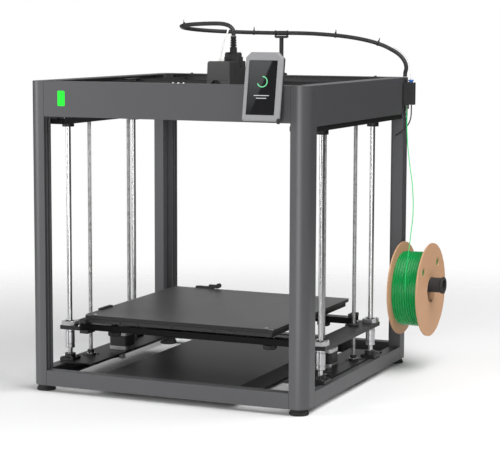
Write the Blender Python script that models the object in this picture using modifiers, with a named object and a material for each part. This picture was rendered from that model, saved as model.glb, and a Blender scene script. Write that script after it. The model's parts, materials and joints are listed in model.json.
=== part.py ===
"""Large open-frame filament printer: welded cube frame, bed that rides four rods and four
lead screws, travelling print head, tilting screen, side spool and overhead cable loop.

Metres, +Z up.  Lengths below are measured from the middle of the frame's footprint, and the
whole model hangs on one empty that puts the middle of its bounding box over the origin.
"""
import math

import bmesh
import bpy
from mathutils import Matrix, Vector

# ---- driving dimensions -------------------------------------------------------------------
GAP = 0.0003            # clearance between pieces that touch

HALF_WIDTH = 0.2930     # frame, outer faces
HALF_DEPTH = 0.2956
FRAME_BOTTOM = 0.0123
FRAME_TOP = 0.6136
COLUMN_WIDTH = 0.0340
COLUMN_WEB = 0.0250
COLUMN_FLANGE = 0.0225
COLUMN_DEPTH = 0.0476
CORNER_RADIUS = 0.0235
SKIN = 0.0020
BEAM_DEPTH = 0.0220
FASCIA_BOTTOM = 0.5450
SIDE_PANEL_BOTTOM = 0.5375
BASE_TOP = 0.0430       # front and rear base beams
BASE_SIDE_TOP = 0.0403
BASE_SIDE_WIDTH = 0.0230
FOOT_RADIUS = 0.0190
FOOT_INSET = 0.0215

ROD_X = 0.2743
ROD_Y = (-0.1725, 0.1105)
ROD_RADIUS = 0.0050
SCREW_X = 0.2577
SCREW_Y = (-0.1157, 0.0558)
SCREW_RADIUS = 0.0040
POST_TOP = 0.5270       # upper ends of rods and screws
DRIVE_Y = -0.0310       # shaft of each bed motor
DRIVE_X = 0.2290
MOTOR_SIZE = 0.0420
MOTOR_LENGTH = 0.0390

PLATE_TOP = 0.0435      # plates that carry the bed drive, left and right
PLATE_THICKNESS = 0.0029
PLATE_INNER_X = 0.2075
PLATE_OUTER_X = 0.2795
RAIL_PLATE = (0.5275, 0.5370)
RAIL_TOP = 0.5475
RAIL_X = (0.2415, 0.2535)
UPPER_CLAMP_BOTTOM = 0.5185

ARM_X = (0.2430, 0.2893)
ARM_Z = (0.1060, 0.1140)
ARM_Y = (-0.1875, 0.1255)
BEARING_BOTTOM = 0.0670
BEARING_TOP = 0.1220
BEARING_RADIUS = 0.0095
BEARING_FLANGE = 0.0300
CROSS_BEAM = (0.0250, 0.0130)
CROSS_BEAM_Z = 0.1085
BED_X = 0.2050
BED_Y = (-0.2386, 0.1735)
BED_TOP = 0.1498
SHEET_THICKNESS = 0.0015
HEATER_THICKNESS = 0.0050

HEAD_X = -0.0070
HEAD_WIDTH = 0.0450
HEAD_Y = (-0.0420, 0.0420)
HEAD_Z = (0.5560, 0.6500)
NOZZLE = (-0.0070, -0.0150, 0.5435)
BEAM_Y = (0.0165, 0.0405)
BEAM_Z = (0.5575, 0.5975)
CABLE_SOCKET = (0.0060, 0.0145)
CABLE_SOCKET_TOP = 0.6998

SCREEN_SIZE = (0.0735, 0.0185, 0.1270)
SCREEN_LEFT = 0.0395    # left edge, from the middle of the tilt axis
SCREEN_FRONT = 0.0130   # glass side, in front of the tilt axis
SCREEN_BELOW = 0.0045   # lower edge, below the tilt axis
SCREEN_TILT = math.radians(10)
SCREEN_PIVOT = (0.2150, -0.3150, 0.5520)

SPOOL_X = (0.3005, 0.3655)
SPOOL_Y = 0.2320
SPOOL_Z = 0.1710
SPOOL_RADIUS = 0.0980
SPOOL_BORE = 0.0263
SPOOL_HUB = 0.0320
SPOOL_CARD = 0.0030
WINDING_RADIUS = 0.0785
HOLDER_RADIUS = 0.0155
HOLDER_END = 0.3940
HOLDER_PAD = 0.0048

SENSOR_X = (0.2955, 0.3170)
SENSOR_Y = (0.2400, 0.2560)
SENSOR_Z = (0.5570, 0.6040)
COLLET = (0.3090, 0.2480)

POST_Y = 0.2830
SLEEVE_RADIUS = 0.0043
SLEEVE_Z = 0.7045       # height of the cable sleeve where the post holds it
TUBE_RADIUS = 0.0020
STRAND_RADIUS = 0.0009
SENSOR_LEAD_RADIUS = 0.0013

COVER_HALF_WIDTH = 0.1450
COVER_TOP = 0.0410
INLET_X = (0.1000, 0.1700)
INLET_Z = (0.0145, 0.0410)
INLET_DEPTH = 0.0060
ROCKER_X = 0.1580

REAR_MOST = SPOOL_Y + SPOOL_RADIUS
FRONT_MOST = (SCREEN_PIVOT[1] - SCREEN_FRONT * math.cos(SCREEN_TILT)
              - SCREEN_BELOW * math.sin(SCREEN_TILT))
CENTRE = ((HOLDER_END - HALF_WIDTH) / 2, (REAR_MOST + FRONT_MOST) / 2)

# routes of the cords, each a list of points chosen along its run
SLEEVE_ROUTE = [
    (0.2840, 0.2830, 0.6145), (0.2842, 0.2830, 0.6230), (0.2865, 0.2825, 0.6330),
    (0.2835, 0.2820, 0.6455), (0.2730, 0.2815, 0.6590), (0.2560, 0.2812, 0.6700),
    (0.2300, 0.2812, 0.6815), (0.1940, 0.2815, 0.6910), (0.1450, 0.2820, 0.6985),
    (0.0865, 0.2825, 0.7030), (0.0400, 0.2830, 0.7045), (0.0000, 0.2830, 0.7045),
    (-0.0350, 0.2820, 0.7048), (-0.0750, 0.2740, 0.7056), (-0.1130, 0.2540, 0.7070),
    (-0.1430, 0.2220, 0.7090), (-0.1610, 0.1800, 0.7120), (-0.1640, 0.1350, 0.7155),
    (-0.1510, 0.0960, 0.7190), (-0.1220, 0.0660, 0.7220), (-0.0850, 0.0450, 0.7240),
    (-0.0480, 0.0310, 0.7250), (-0.0220, 0.0222, 0.7244), (-0.0050, 0.0170, 0.7205),
    (0.0040, 0.0148, 0.7135), (0.0060, 0.0145, 0.7070), (0.0060, 0.0145, 0.7003),
]
REAR_TUBE_ROUTE = [
    (0.3090, 0.2480, 0.6099), (0.3090, 0.2480, 0.6180), (0.3082, 0.2488, 0.6290),
    (0.3050, 0.2515, 0.6410), (0.2985, 0.2565, 0.6530), (0.2885, 0.2625, 0.6630),
    (0.2760, 0.2675, 0.6710), (0.2640, 0.2700, 0.6765),
]
HEAD_TUBE_ROUTE = [
    (-0.0120, -0.0060, 0.6563), (-0.0118, -0.0058, 0.6640), (-0.0105, -0.0040, 0.6760),
    (-0.0080, -0.0015, 0.6880), (-0.0052, 0.0010, 0.6985),
]
SENSOR_LEAD_ROUTE = [
    (0.3105, 0.2480, 0.5565), (0.3105, 0.2480, 0.5460), (0.3100, 0.2475, 0.5320),
    (0.3065, 0.2460, 0.5190), (0.2990, 0.2440, 0.5080), (0.2895, 0.2425, 0.4990),
    (0.2825, 0.2425, 0.4945), (0.2785, 0.2440, 0.4930), (0.2780, 0.2472, 0.4930),
]
STRAND_ROUTE = [
    (0.3340, 0.1521, 0.1750), (0.3345, 0.1540, 0.2050), (0.3355, 0.1640, 0.2450),
    (0.3370, 0.1760, 0.2900), (0.3370, 0.1900, 0.3400), (0.3300, 0.2040, 0.3900),
    (0.3190, 0.2170, 0.4350), (0.3100, 0.2290, 0.4750), (0.3040, 0.2400, 0.5150),
    (0.3010, 0.2470, 0.5450), (0.3005, 0.2480, 0.5565),
]

# ---- finishes: colour, roughness, metallic ------------------------------------------------
FINISHES = {
    "frame_paint": ((0.080, 0.080, 0.082), 0.45, 0.60),
    "black_steel": ((0.012, 0.012, 0.013), 0.50, 0.40),
    "polished_steel": ((0.620, 0.620, 0.630), 0.20, 1.00),
    "bare_aluminium": ((0.480, 0.480, 0.490), 0.35, 1.00),
    "black_plastic": ((0.015, 0.015, 0.016), 0.55, 0.00),
    "grey_plastic": ((0.250, 0.250, 0.260), 0.45, 0.00),
    "print_surface": ((0.100, 0.100, 0.100), 0.65, 0.00),
    "rubber": ((0.010, 0.010, 0.010), 0.80, 0.00),
    "card": ((0.520, 0.300, 0.170), 0.80, 0.00),
    "green_filament": ((0.000, 0.280, 0.060), 0.35, 0.00),
    "white_tube": ((0.800, 0.800, 0.790), 0.35, 0.00),
}

PARTS = "filament_printer"
SIDES = (("left", -1), ("right", 1))
ENDS = (("front", 0), ("rear", 1))


# ---- scene and materials ------------------------------------------------------------------
def clear_scene():
    for obj in list(bpy.data.objects):
        bpy.data.objects.remove(obj)


def make_collection(name):
    group = bpy.data.collections.new(name)
    bpy.context.scene.collection.children.link(group)
    return group


def make_material(name):
    colour, roughness, metallic = FINISHES[name]
    material = bpy.data.materials.new(name)
    material.use_nodes = True
    shader = material.node_tree.nodes["Principled BSDF"]
    shader.inputs["Base Color"].default_value = (*colour, 1)
    shader.inputs["Roughness"].default_value = roughness
    shader.inputs["Metallic"].default_value = metallic
    material.diffuse_color = (*colour, 1)
    return material


def finish(obj, name, material):
    """Names an object, gives it its own finish and hangs it on the printer's empty."""
    obj.name = name
    obj.data.name = name
    obj.data.materials.clear()
    obj.data.materials.append(make_material(material))
    obj.parent = ORIGIN
    MODEL.objects.link(obj)
    return obj


# ---- shapes -------------------------------------------------------------------------------
def mesh_object(build):
    mesh = bpy.data.meshes.new("shape")
    shape = bmesh.new()
    build(shape)
    bmesh.ops.recalc_face_normals(shape, faces=shape.faces)
    shape.to_mesh(mesh)
    shape.free()
    return bpy.data.objects.new("shape", mesh)


def block(low, high):
    """A box between two corners."""
    size = [h - l for l, h in zip(low, high)]
    centre = [(h + l) / 2 for l, h in zip(low, high)]

    def build(shape):
        bmesh.ops.create_cube(shape, size=1)
        bmesh.ops.scale(shape, vec=size, verts=shape.verts)

    obj = mesh_object(build)
    obj.location = centre
    return obj


TURN = {
    "X": Matrix(((0, 0, 1), (1, 0, 0), (0, 1, 0))),
    "Y": Matrix(((1, 0, 0), (0, 0, -1), (0, 1, 0))),
    "Z": Matrix.Identity(3),
}


def cylinder(radius, centre, length, axis="Z", sides=24):
    """A round bar centred on a point."""

    def build(shape):
        bmesh.ops.create_cone(
            shape, cap_ends=True, segments=sides, radius1=radius, radius2=radius, depth=length
        )

    obj = mesh_object(build)
    obj.location = centre
    obj.rotation_euler = TURN[axis].to_euler()
    return obj


def rounded(corners, steps=5):
    """Turns corners (u, v, radius) into an outline, each radius as an arc."""
    points = []
    count = len(corners)
    for i, (u, v, radius) in enumerate(corners):
        here = Vector((u, v))
        if not radius:
            points.append(here)
            continue
        before = (Vector(corners[i - 1][:2]) - here).normalized()
        after = (Vector(corners[(i + 1) % count][:2]) - here).normalized()
        half = before.angle(after) / 2
        middle = here + (before + after).normalized() * radius / math.sin(half)
        start = here + before * radius / math.tan(half) - middle
        sweep = start.angle_signed(here + after * radius / math.tan(half) - middle)
        for step in range(steps + 1):
            turn = Matrix.Rotation(-sweep * step / steps, 2)
            points.append(middle + turn @ start)
    return points


def plate(outline, start, end, axis="Z", holes=()):
    """A flat outline, with any holes, drawn out along an axis from start to end.

    Along X the outline is in (y, z), along Y in (x, z) and along Z in (x, y)."""
    curve = bpy.data.curves.new("shape", "CURVE")
    curve.dimensions = "2D"
    curve.fill_mode = "BOTH"
    curve.extrude = abs(end - start) / 2
    for points in (outline, *holes):
        spline = curve.splines.new("POLY")
        spline.points.add(len(points) - 1)
        spline.use_cyclic_u = True
        for point, (u, v) in zip(spline.points, points):
            point.co = (u, v, 0, 1)
    obj = bpy.data.objects.new("shape", curve)
    obj.rotation_euler = TURN[axis].to_euler()
    obj.location["XYZ".index(axis)] = (start + end) / 2
    return obj


def turned(profile, centre, axis="Z", steps=24):
    """A profile of (radius, height) points, top to bottom, turned a full circle."""
    mesh = bpy.data.meshes.new("shape")
    count = len(profile)
    ring = profile[0][0] > 0 and profile[-1][0] > 0
    edges = [(i, i + 1) for i in range(count - 1)]
    if ring:
        edges.append((count - 1, 0))
    mesh.from_pydata([(r, 0, h) for r, h in profile], edges, [])
    obj = bpy.data.objects.new("shape", mesh)
    screw = obj.modifiers.new("turn", "SCREW")
    screw.steps = steps
    screw.render_steps = steps
    screw.use_merge_vertices = True
    screw.merge_threshold = 0.00001
    obj.location = centre
    obj.rotation_euler = TURN[axis].to_euler()
    return obj


def smooth_route(points, spacing):
    """Points about one spacing apart on a smooth curve through the given ones."""
    route = [Vector(p) for p in points]
    ends = [2 * route[0] - route[1], *route, 2 * route[-1] - route[-2]]
    fine = []
    for i in range(1, len(ends) - 2):
        a, b, c, d = ends[i - 1:i + 3]
        count = max(1, round((c - b).length / spacing))
        for step in range(count):
            t = step / count
            fine.append(
                0.5 * (2 * b + (c - a) * t + (2 * a - 5 * b + 4 * c - d) * t**2
                       + (3 * b - a - 3 * c + d) * t**3)
            )
    return fine + [route[-1]]


def cord(route, radius, spacing):
    """A round cord along a route."""
    curve = bpy.data.curves.new("shape", "CURVE")
    curve.dimensions = "3D"
    curve.bevel_depth = radius
    curve.bevel_resolution = 2
    curve.use_fill_caps = True
    points = smooth_route(route, spacing)
    spline = curve.splines.new("POLY")
    spline.points.add(len(points) - 1)
    for point, place in zip(spline.points, points):
        point.co = (*place, 1)
    return bpy.data.objects.new("shape", curve)


def as_mesh(obj, upright=False):
    """Makes a curve or a modified object into a plain closed mesh in the same place.

    An upright one takes the turn into its mesh, so that its own axes match the printer's."""
    holder = bpy.context.scene.collection
    holder.objects.link(obj)
    bpy.context.view_layer.update()
    depsgraph = bpy.context.evaluated_depsgraph_get()
    mesh = bpy.data.meshes.new_from_object(obj.evaluated_get(depsgraph))
    shape = bmesh.new()
    shape.from_mesh(mesh)
    bmesh.ops.remove_doubles(shape, verts=shape.verts, dist=0.000005)
    bmesh.ops.recalc_face_normals(shape, faces=shape.faces)
    shape.to_mesh(mesh)
    shape.free()
    solid = bpy.data.objects.new("shape", mesh)
    if upright:
        mesh.transform(obj.matrix_world)
    else:
        solid.matrix_world = obj.matrix_world
    bpy.data.objects.remove(obj)
    return solid


def combine(base, tools, operation, name):
    """Joins tools to a base, or cuts them from it, and returns one plain mesh."""
    solid = as_mesh(base)
    for i, tool in enumerate(tools):
        shape = as_mesh(tool)
        shape.name = f"{name}_{operation.lower()}_{i}"
        shape.hide_render = True
        shape.display_type = "WIRE"
        CUTTERS.objects.link(shape)
        step = solid.modifiers.new(f"{operation.lower()}_{i}", "BOOLEAN")
        step.operation = operation
        step.object = shape
    return as_mesh(solid)


def join(base, tools, name):
    return combine(base, tools, "UNION", name)


def cut(base, tools, name):
    return combine(base, tools, "DIFFERENCE", name)


# ---- frame --------------------------------------------------------------------------------
def column_outline(side_x, side_y):
    """L section: a deep outer flange, a wide web with two slots in its end, a rounded outer
    corner and a notch in the inner corner.  Drawn for the corner at +X, +Y and mirrored."""
    slot_depth = 0.0050
    slots = ((-0.0035, -0.0105), (-0.0140, -0.0215))
    notch = 0.0040
    web_x = -COLUMN_WIDTH
    flange_x = -COLUMN_FLANGE
    web_y = -COLUMN_WEB
    corners = [
        (0, 0, CORNER_RADIUS), (0, -COLUMN_DEPTH, 0), (flange_x, -COLUMN_DEPTH, 0),
        (flange_x, web_y - notch, 0), (flange_x + notch, web_y - notch, 0),
        (flange_x + notch, web_y, 0), (web_x, web_y, 0),
    ]
    for top, bottom in reversed(slots):
        corners += [
            (web_x, bottom, 0), (web_x + slot_depth, bottom, 0),
            (web_x + slot_depth, top, 0), (web_x, top, 0),
        ]
    corners.append((web_x, 0, 0))
    outer = rounded(corners, steps=6)
    wall = 0.0035
    hollow = rounded([
        (-wall, -wall, CORNER_RADIUS - wall), (-wall, web_y, 0), (-CORNER_RADIUS + wall, web_y + wall, 0),
        (web_x + 2 * slot_depth, web_y + wall, 0), (web_x + 2 * slot_depth, -wall, 0),
    ], steps=4)

    def placed(points):
        return [(side_x * (HALF_WIDTH + u), side_y * (HALF_DEPTH + v)) for u, v in points]

    return placed(outer), placed(hollow)


def build_columns():
    for side, sign in SIDES:
        for end, index in ENDS:
            outer, hollow = column_outline(sign, -1 if index == 0 else 1)
            column = plate(outer, FRAME_BOTTOM, FRAME_TOP, holes=[hollow])
            finish(as_mesh(column), f"column_{end}_{side}", "frame_paint")


def channel(low, high, open_side):
    """Outline of a C channel between two corners, open towards one side ('-u' or '+u')."""
    (u0, v0), (u1, v1) = low, high
    outer, inner = (u1, u0) if open_side == "-u" else (u0, u1)
    step = SKIN if open_side == "-u" else -SKIN
    return [
        (outer, v0), (inner, v0), (inner, v0 + SKIN), (outer - step, v0 + SKIN),
        (outer - step, v1 - SKIN), (inner, v1 - SKIN), (inner, v1), (outer, v1),
    ]


def build_beams():
    reach = HALF_WIDTH - COLUMN_WIDTH - GAP
    run = HALF_DEPTH - COLUMN_DEPTH - GAP
    front = (-HALF_DEPTH, -HALF_DEPTH + BEAM_DEPTH)
    rear = (HALF_DEPTH - BEAM_DEPTH, HALF_DEPTH)
    for name, (y0, y1), opening, (z0, z1) in (
        ("front_fascia", front, "+u", (FASCIA_BOTTOM, FRAME_TOP)),
        ("rear_beam", rear, "-u", (FASCIA_BOTTOM, FRAME_TOP)),
        ("base_beam_front", front, "+u", (FRAME_BOTTOM, BASE_TOP)),
        ("base_beam_rear", rear, "-u", (FRAME_BOTTOM, BASE_TOP)),
    ):
        outline = channel((y0, z0), (y1, z1), opening)
        finish(as_mesh(plate(outline, -reach, reach, "X")), name, "frame_paint")
    for side, sign in SIDES:
        for name, width, z0, z1 in (
            ("side_panel", COLUMN_WIDTH, SIDE_PANEL_BOTTOM, FRAME_TOP),
            ("base_beam", BASE_SIDE_WIDTH, FRAME_BOTTOM, BASE_SIDE_TOP),
        ):
            x0, x1 = sorted((sign * (HALF_WIDTH - width), sign * HALF_WIDTH))
            outline = channel((x0, z0), (x1, z1), "-u" if sign > 0 else "+u")
            finish(as_mesh(plate(outline, -run, run, "Y")), f"{name}_{side}", "frame_paint")


def build_feet():
    for side, sign in SIDES:
        for end, index in ENDS:
            y = (HALF_DEPTH - FOOT_INSET) * (-1 if index == 0 else 1)
            x = (HALF_WIDTH - FOOT_INSET) * sign
            profile = [
                (0, FRAME_BOTTOM - GAP), (FOOT_RADIUS * 0.86, FRAME_BOTTOM - GAP),
                (FOOT_RADIUS * 0.90, FRAME_BOTTOM * 0.45), (FOOT_RADIUS, FRAME_BOTTOM * 0.12),
                (FOOT_RADIUS * 0.97, 0), (0, 0),
            ]
            foot = turned(profile, (x, y, 0), steps=24)
            finish(as_mesh(foot), f"foot_{end}_{side}", "rubber")


# ---- bed drive ----------------------------------------------------------------------------
def build_base_plates():
    """Each plate carries two rod clamps, two screw bearings and a motor."""
    low = PLATE_TOP - PLATE_THICKNESS
    clamp_side, clamp_top = 0.0150, 0.0480
    boss_top = 0.0555
    boss_low = clamp_top - 0.0020
    for side, sign in SIDES:
        name = f"base_plate_{side}"
        x0, x1 = sorted((sign * PLATE_INNER_X, sign * PLATE_OUTER_X))
        base = block((x0, ROD_Y[0] - 0.030, low), (x1, ROD_Y[1] + 0.060, PLATE_TOP))
        added = []
        holes = [cylinder(0.0045, (sign * DRIVE_X, DRIVE_Y, PLATE_TOP), 0.020)]
        for y in ROD_Y:
            x = sign * ROD_X
            added.append(block((x - clamp_side, y - 0.0165, low), (x + clamp_side, y + 0.0165, clamp_top)))
            added.append(cylinder(0.0110, (x, y, (boss_low + boss_top) / 2), boss_top - boss_low))
            holes.append(cylinder(ROD_RADIUS + GAP, (x, y, PLATE_TOP), 0.0400))
        for y in SCREW_Y:
            x = sign * SCREW_X
            added.append(cylinder(0.0105, (x, y, PLATE_TOP + 0.0015), 0.0040))
            holes.append(cylinder(SCREW_RADIUS + 2 * GAP, (x, y, PLATE_TOP), 0.0400))
        solid = cut(join(base, added, name), holes, name)
        finish(solid, name, "black_steel")


def build_rods():
    low = BASE_SIDE_TOP + GAP
    length = POST_TOP - low
    for side, sign in SIDES:
        for end, index in ENDS:
            centre = (sign * ROD_X, ROD_Y[index], low + length / 2)
            rod = cylinder(ROD_RADIUS, centre, length)
            finish(rod, f"rod_{end}_{side}", "polished_steel")


def build_screws():
    """A lead screw with its toothed belt pulley below the plate, on the screw's own axis."""
    pulley, flange = 0.0070, 0.0085
    profile = [
        (0, POST_TOP), (SCREW_RADIUS, POST_TOP), (SCREW_RADIUS, 0.0320), (flange, 0.0320),
        (flange, 0.0305), (pulley, 0.0305), (pulley, 0.0235), (flange, 0.0235),
        (flange, 0.0220), (0, 0.0220),
    ]
    for side, sign in SIDES:
        for end, index in ENDS:
            screw = turned(profile, (sign * SCREW_X, SCREW_Y[index], 0), steps=20)
            finish(as_mesh(screw), f"lead_screw_{end}_{side}", "polished_steel")


def build_bed_motors():
    low = PLATE_TOP + GAP
    half = MOTOR_SIZE / 2
    for side, sign in SIDES:
        name = f"z_motor_{side}"
        x = sign * DRIVE_X
        corners = [
            (x + half, DRIVE_Y - half, 0.004), (x - half, DRIVE_Y - half, 0.004),
            (x - half, DRIVE_Y + half, 0.004), (x + half, DRIVE_Y + half, 0.004),
        ]
        body = plate(rounded(corners, steps=2), low, low + MOTOR_LENGTH)
        pulley_middle, pulley_length = 0.0300, 0.0130
        shaft = cylinder(0.0025, (x, DRIVE_Y, low - 0.0030), 0.0200, sides=16)
        pulley = cylinder(0.0075, (x, DRIVE_Y, pulley_middle), pulley_length)
        finish(join(body, [shaft, pulley], name), name, "black_steel")


def build_top_rails():
    """Plate under each side panel with its two upper rod clamps and the rail on top."""
    run = HALF_DEPTH - COLUMN_DEPTH - 2 * GAP
    for side, sign in SIDES:
        name = f"top_rail_{side}"
        x0, x1 = sorted((sign * 0.2380, sign * (HALF_WIDTH - 0.0025)))
        base = block((x0, -run, RAIL_PLATE[0]), (x1, run, RAIL_PLATE[1]))
        r0, r1 = sorted((sign * RAIL_X[0], sign * RAIL_X[1]))
        added = [block((r0, -run + 0.004, RAIL_PLATE[1] - 0.002), (r1, run - 0.004, RAIL_TOP))]
        holes = []
        for y in ROD_Y:
            depth = RAIL_PLATE[0] + 0.0020 - UPPER_CLAMP_BOTTOM
            added.append(cylinder(0.0120, (sign * ROD_X, y, UPPER_CLAMP_BOTTOM + depth / 2), depth))
            holes.append(cylinder(ROD_RADIUS + GAP, (sign * ROD_X, y, POST_TOP - 0.0085), 0.0180))
        solid = cut(join(base, added, name), holes, name)
        finish(solid, name, "black_steel")


def build_top_motors():
    """The two motors that pull the head's belts, in the rear corners of the top frame."""
    y1 = HALF_DEPTH - BEAM_DEPTH - GAP
    for side, sign in SIDES:
        name = f"xy_motor_{side}"
        x0, x1 = sorted((sign * 0.2050, sign * (0.2050 + MOTOR_SIZE)))
        body = block((x0, y1 - MOTOR_SIZE, 0.5530), (x1, y1, 0.5910))
        middle = ((x0 + x1) / 2, y1 - MOTOR_SIZE / 2)
        pulley = cylinder(0.0070, (*middle, 0.5980), 0.0160)
        finish(join(body, [pulley], name), name, "black_steel")


# ---- bed ----------------------------------------------------------------------------------
def build_bed_arms():
    for side, sign in SIDES:
        name = f"bed_arm_{side}"
        x0, x1 = sorted((sign * ARM_X[0], sign * ARM_X[1]))
        base = block((x0, ARM_Y[0], ARM_Z[0]), (x1, ARM_Y[1], ARM_Z[1]))
        middle = sum(ARM_Z) / 2
        holes = [cylinder(BEARING_RADIUS + GAP, (sign * ROD_X, y, middle), 0.020) for y in ROD_Y]
        holes += [cylinder(SCREW_RADIUS + 2 * GAP, (sign * SCREW_X, y, middle), 0.020) for y in SCREW_Y]
        finish(cut(base, holes, name), name, "black_steel")


def build_bearings():
    """Four long flanged bearings that share one mesh."""
    half = BEARING_FLANGE / 2
    cut_corner = 0.006
    flange = [
        (half, -half + cut_corner), (half, half - cut_corner), (half - cut_corner, half),
        (-half + cut_corner, half), (-half, half - cut_corner), (-half, -half + cut_corner),
        (-half + cut_corner, -half), (half - cut_corner, -half),
    ]
    length = BEARING_TOP - BEARING_BOTTOM
    body = cylinder(BEARING_RADIUS, (0, 0, BEARING_TOP - length / 2), length)
    top = plate(flange, ARM_Z[1] + GAP, BEARING_TOP)
    bore = cylinder(ROD_RADIUS + GAP, (0, 0, 0.1), 0.2)
    solid = as_mesh(cut(join(top, [body], "bearing"), [bore], "bearing"), upright=True)
    for side, sign in SIDES:
        for end, index in ENDS:
            copy = bpy.data.objects.new("shape", solid.data.copy())
            copy.location = (sign * ROD_X, ROD_Y[index], 0)
            finish(copy, f"bearing_{end}_{side}", "bare_aluminium")
    bpy.data.objects.remove(solid)


def build_bed():
    reach = ARM_X[0] - GAP
    width, height = CROSS_BEAM
    top = BED_TOP - SHEET_THICKNESS - GAP
    under = top - HEATER_THICKNESS - GAP
    for end, y0 in (("front", ARM_Y[0]), ("rear", ARM_Y[1] - width)):
        name = f"cross_beam_{end}"
        beam = block((-reach, y0, CROSS_BEAM_Z), (reach, y0 + width, CROSS_BEAM_Z + height))
        posts = []
        for x in (-0.170, 0.170):
            z0 = CROSS_BEAM_Z + height - 0.002
            posts.append(cylinder(0.0060, (x, y0 + width / 2, (z0 + under) / 2), under - z0, sides=16))
        finish(join(beam, posts, name), name, "black_steel")
    heater = rounded([
        (BED_X - 0.002, BED_Y[0] + 0.002, 0.004), (-BED_X + 0.002, BED_Y[0] + 0.002, 0.004),
        (-BED_X + 0.002, BED_Y[1] - 0.002, 0.004), (BED_X - 0.002, BED_Y[1] - 0.002, 0.004),
    ], steps=3)
    finish(as_mesh(plate(heater, top - HEATER_THICKNESS, top)), "heated_bed", "bare_aluminium")
    sheet = rounded([
        (BED_X, BED_Y[0], 0.004), (-BED_X, BED_Y[0], 0.004),
        (-BED_X, BED_Y[1], 0.004), (BED_X, BED_Y[1], 0.004),
    ], steps=3)
    solid = plate(sheet, BED_TOP - SHEET_THICKNESS, BED_TOP)
    finish(as_mesh(solid), "print_sheet", "print_surface")


# ---- gantry and head ----------------------------------------------------------------------
def build_gantry():
    beam = block((-0.2300, BEAM_Y[0], BEAM_Z[0]), (0.2300, BEAM_Y[1], BEAM_Z[1]))
    ends = []
    for sign in (-1, 1):
        x0, x1 = sorted((sign * 0.2260, sign * 0.2620))
        ends.append(block((x0, 0.0050, RAIL_TOP + 2 * GAP), (x1, 0.0400, 0.5900)))
    finish(join(beam, ends, "x_beam"), "x_beam", "black_steel")


def build_head():
    """Cover that straddles the beam, with the cable socket on top, and the hot end below."""
    y0, y1 = HEAD_Y
    z0, z1 = HEAD_Z
    step = BEAM_Y[0] - 2 * GAP
    shelf = BEAM_Z[1] + 2 * GAP
    side = rounded([
        (y0, z0, 0), (y0, z1, 0.006), (y1, z1, 0.004), (y1, shelf, 0), (step, shelf, 0), (step, z0, 0),
    ], steps=3)
    x0 = HEAD_X - HEAD_WIDTH / 2
    cover = plate(side, x0, x0 + HEAD_WIDTH, "X")
    cx, cy = CABLE_SOCKET
    socket = block((cx - 0.0165, cy - 0.0100, z1 - 0.002), (cx + 0.0155, cy + 0.0140, 0.6650))
    sleeve = turned(
        [(0, CABLE_SOCKET_TOP), (0.0048, CABLE_SOCKET_TOP), (0.0060, 0.6640), (0, 0.6640)],
        (cx, cy, 0), steps=16,
    )
    tx, ty = HEAD_TUBE_ROUTE[0][:2]
    fitting = cylinder(0.0045, (tx, ty, 0.6525), 0.0070, sides=16)
    finish(join(cover, [socket, sleeve, fitting], "head_cover"), "head_cover", "black_plastic")
    x, y, z = NOZZLE
    profile = [
        (0, z0 - GAP), (0.0090, z0 - GAP), (0.0090, z + 0.0060), (0.0040, z + 0.0050),
        (0.0040, z + 0.0030), (0.0006, z), (0, z),
    ]
    finish(as_mesh(turned(profile, (x, y, 0))), "hotend", "polished_steel")


# ---- screen -------------------------------------------------------------------------------
def build_screen():
    """The housing's origin lies on its tilt axis; the bracket's knuckle fills the cut in it."""
    px, py, pz = SCREEN_PIVOT
    width, depth, height = SCREEN_SIZE
    left, right = -SCREEN_LEFT, width - SCREEN_LEFT
    chamfer = 0.010
    bottom = -SCREEN_BELOW
    face = [
        (left, bottom, 0.003), (right, bottom, 0.003), (right, bottom + height - chamfer, 0),
        (right - chamfer, bottom + height, 0), (left + chamfer, bottom + height, 0),
        (left, bottom + height - chamfer, 0),
    ]
    housing = plate(rounded(face, steps=3), -SCREEN_FRONT, depth - SCREEN_FRONT, "Y")
    knuckle_room = cylinder(0.0060, (0, 0, 0), 0.0310, "X", sides=20)
    behind_room = block((-0.0155, 0, -0.0060), (0.0155, 0.010, 0.0060))
    solid = as_mesh(cut(housing, [knuckle_room, behind_room], "screen_housing"), upright=True)
    solid.location = SCREEN_PIVOT
    solid.rotation_euler = (-SCREEN_TILT, 0, 0)
    finish(solid, "screen_housing", "grey_plastic")
    knuckle = cylinder(0.0050, SCREEN_PIVOT, 0.0300, "X", sides=20)
    wall = -HALF_DEPTH - GAP
    arm = block((px - 0.0150, py, pz - 0.0030), (px + 0.0150, wall, pz + 0.0030))
    pad = block((px - 0.0250, wall - 0.0026, pz - 0.0040), (px + 0.0250, wall, pz + 0.0400))
    finish(join(pad, [arm, knuckle], "screen_bracket"), "screen_bracket", "black_steel")


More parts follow.
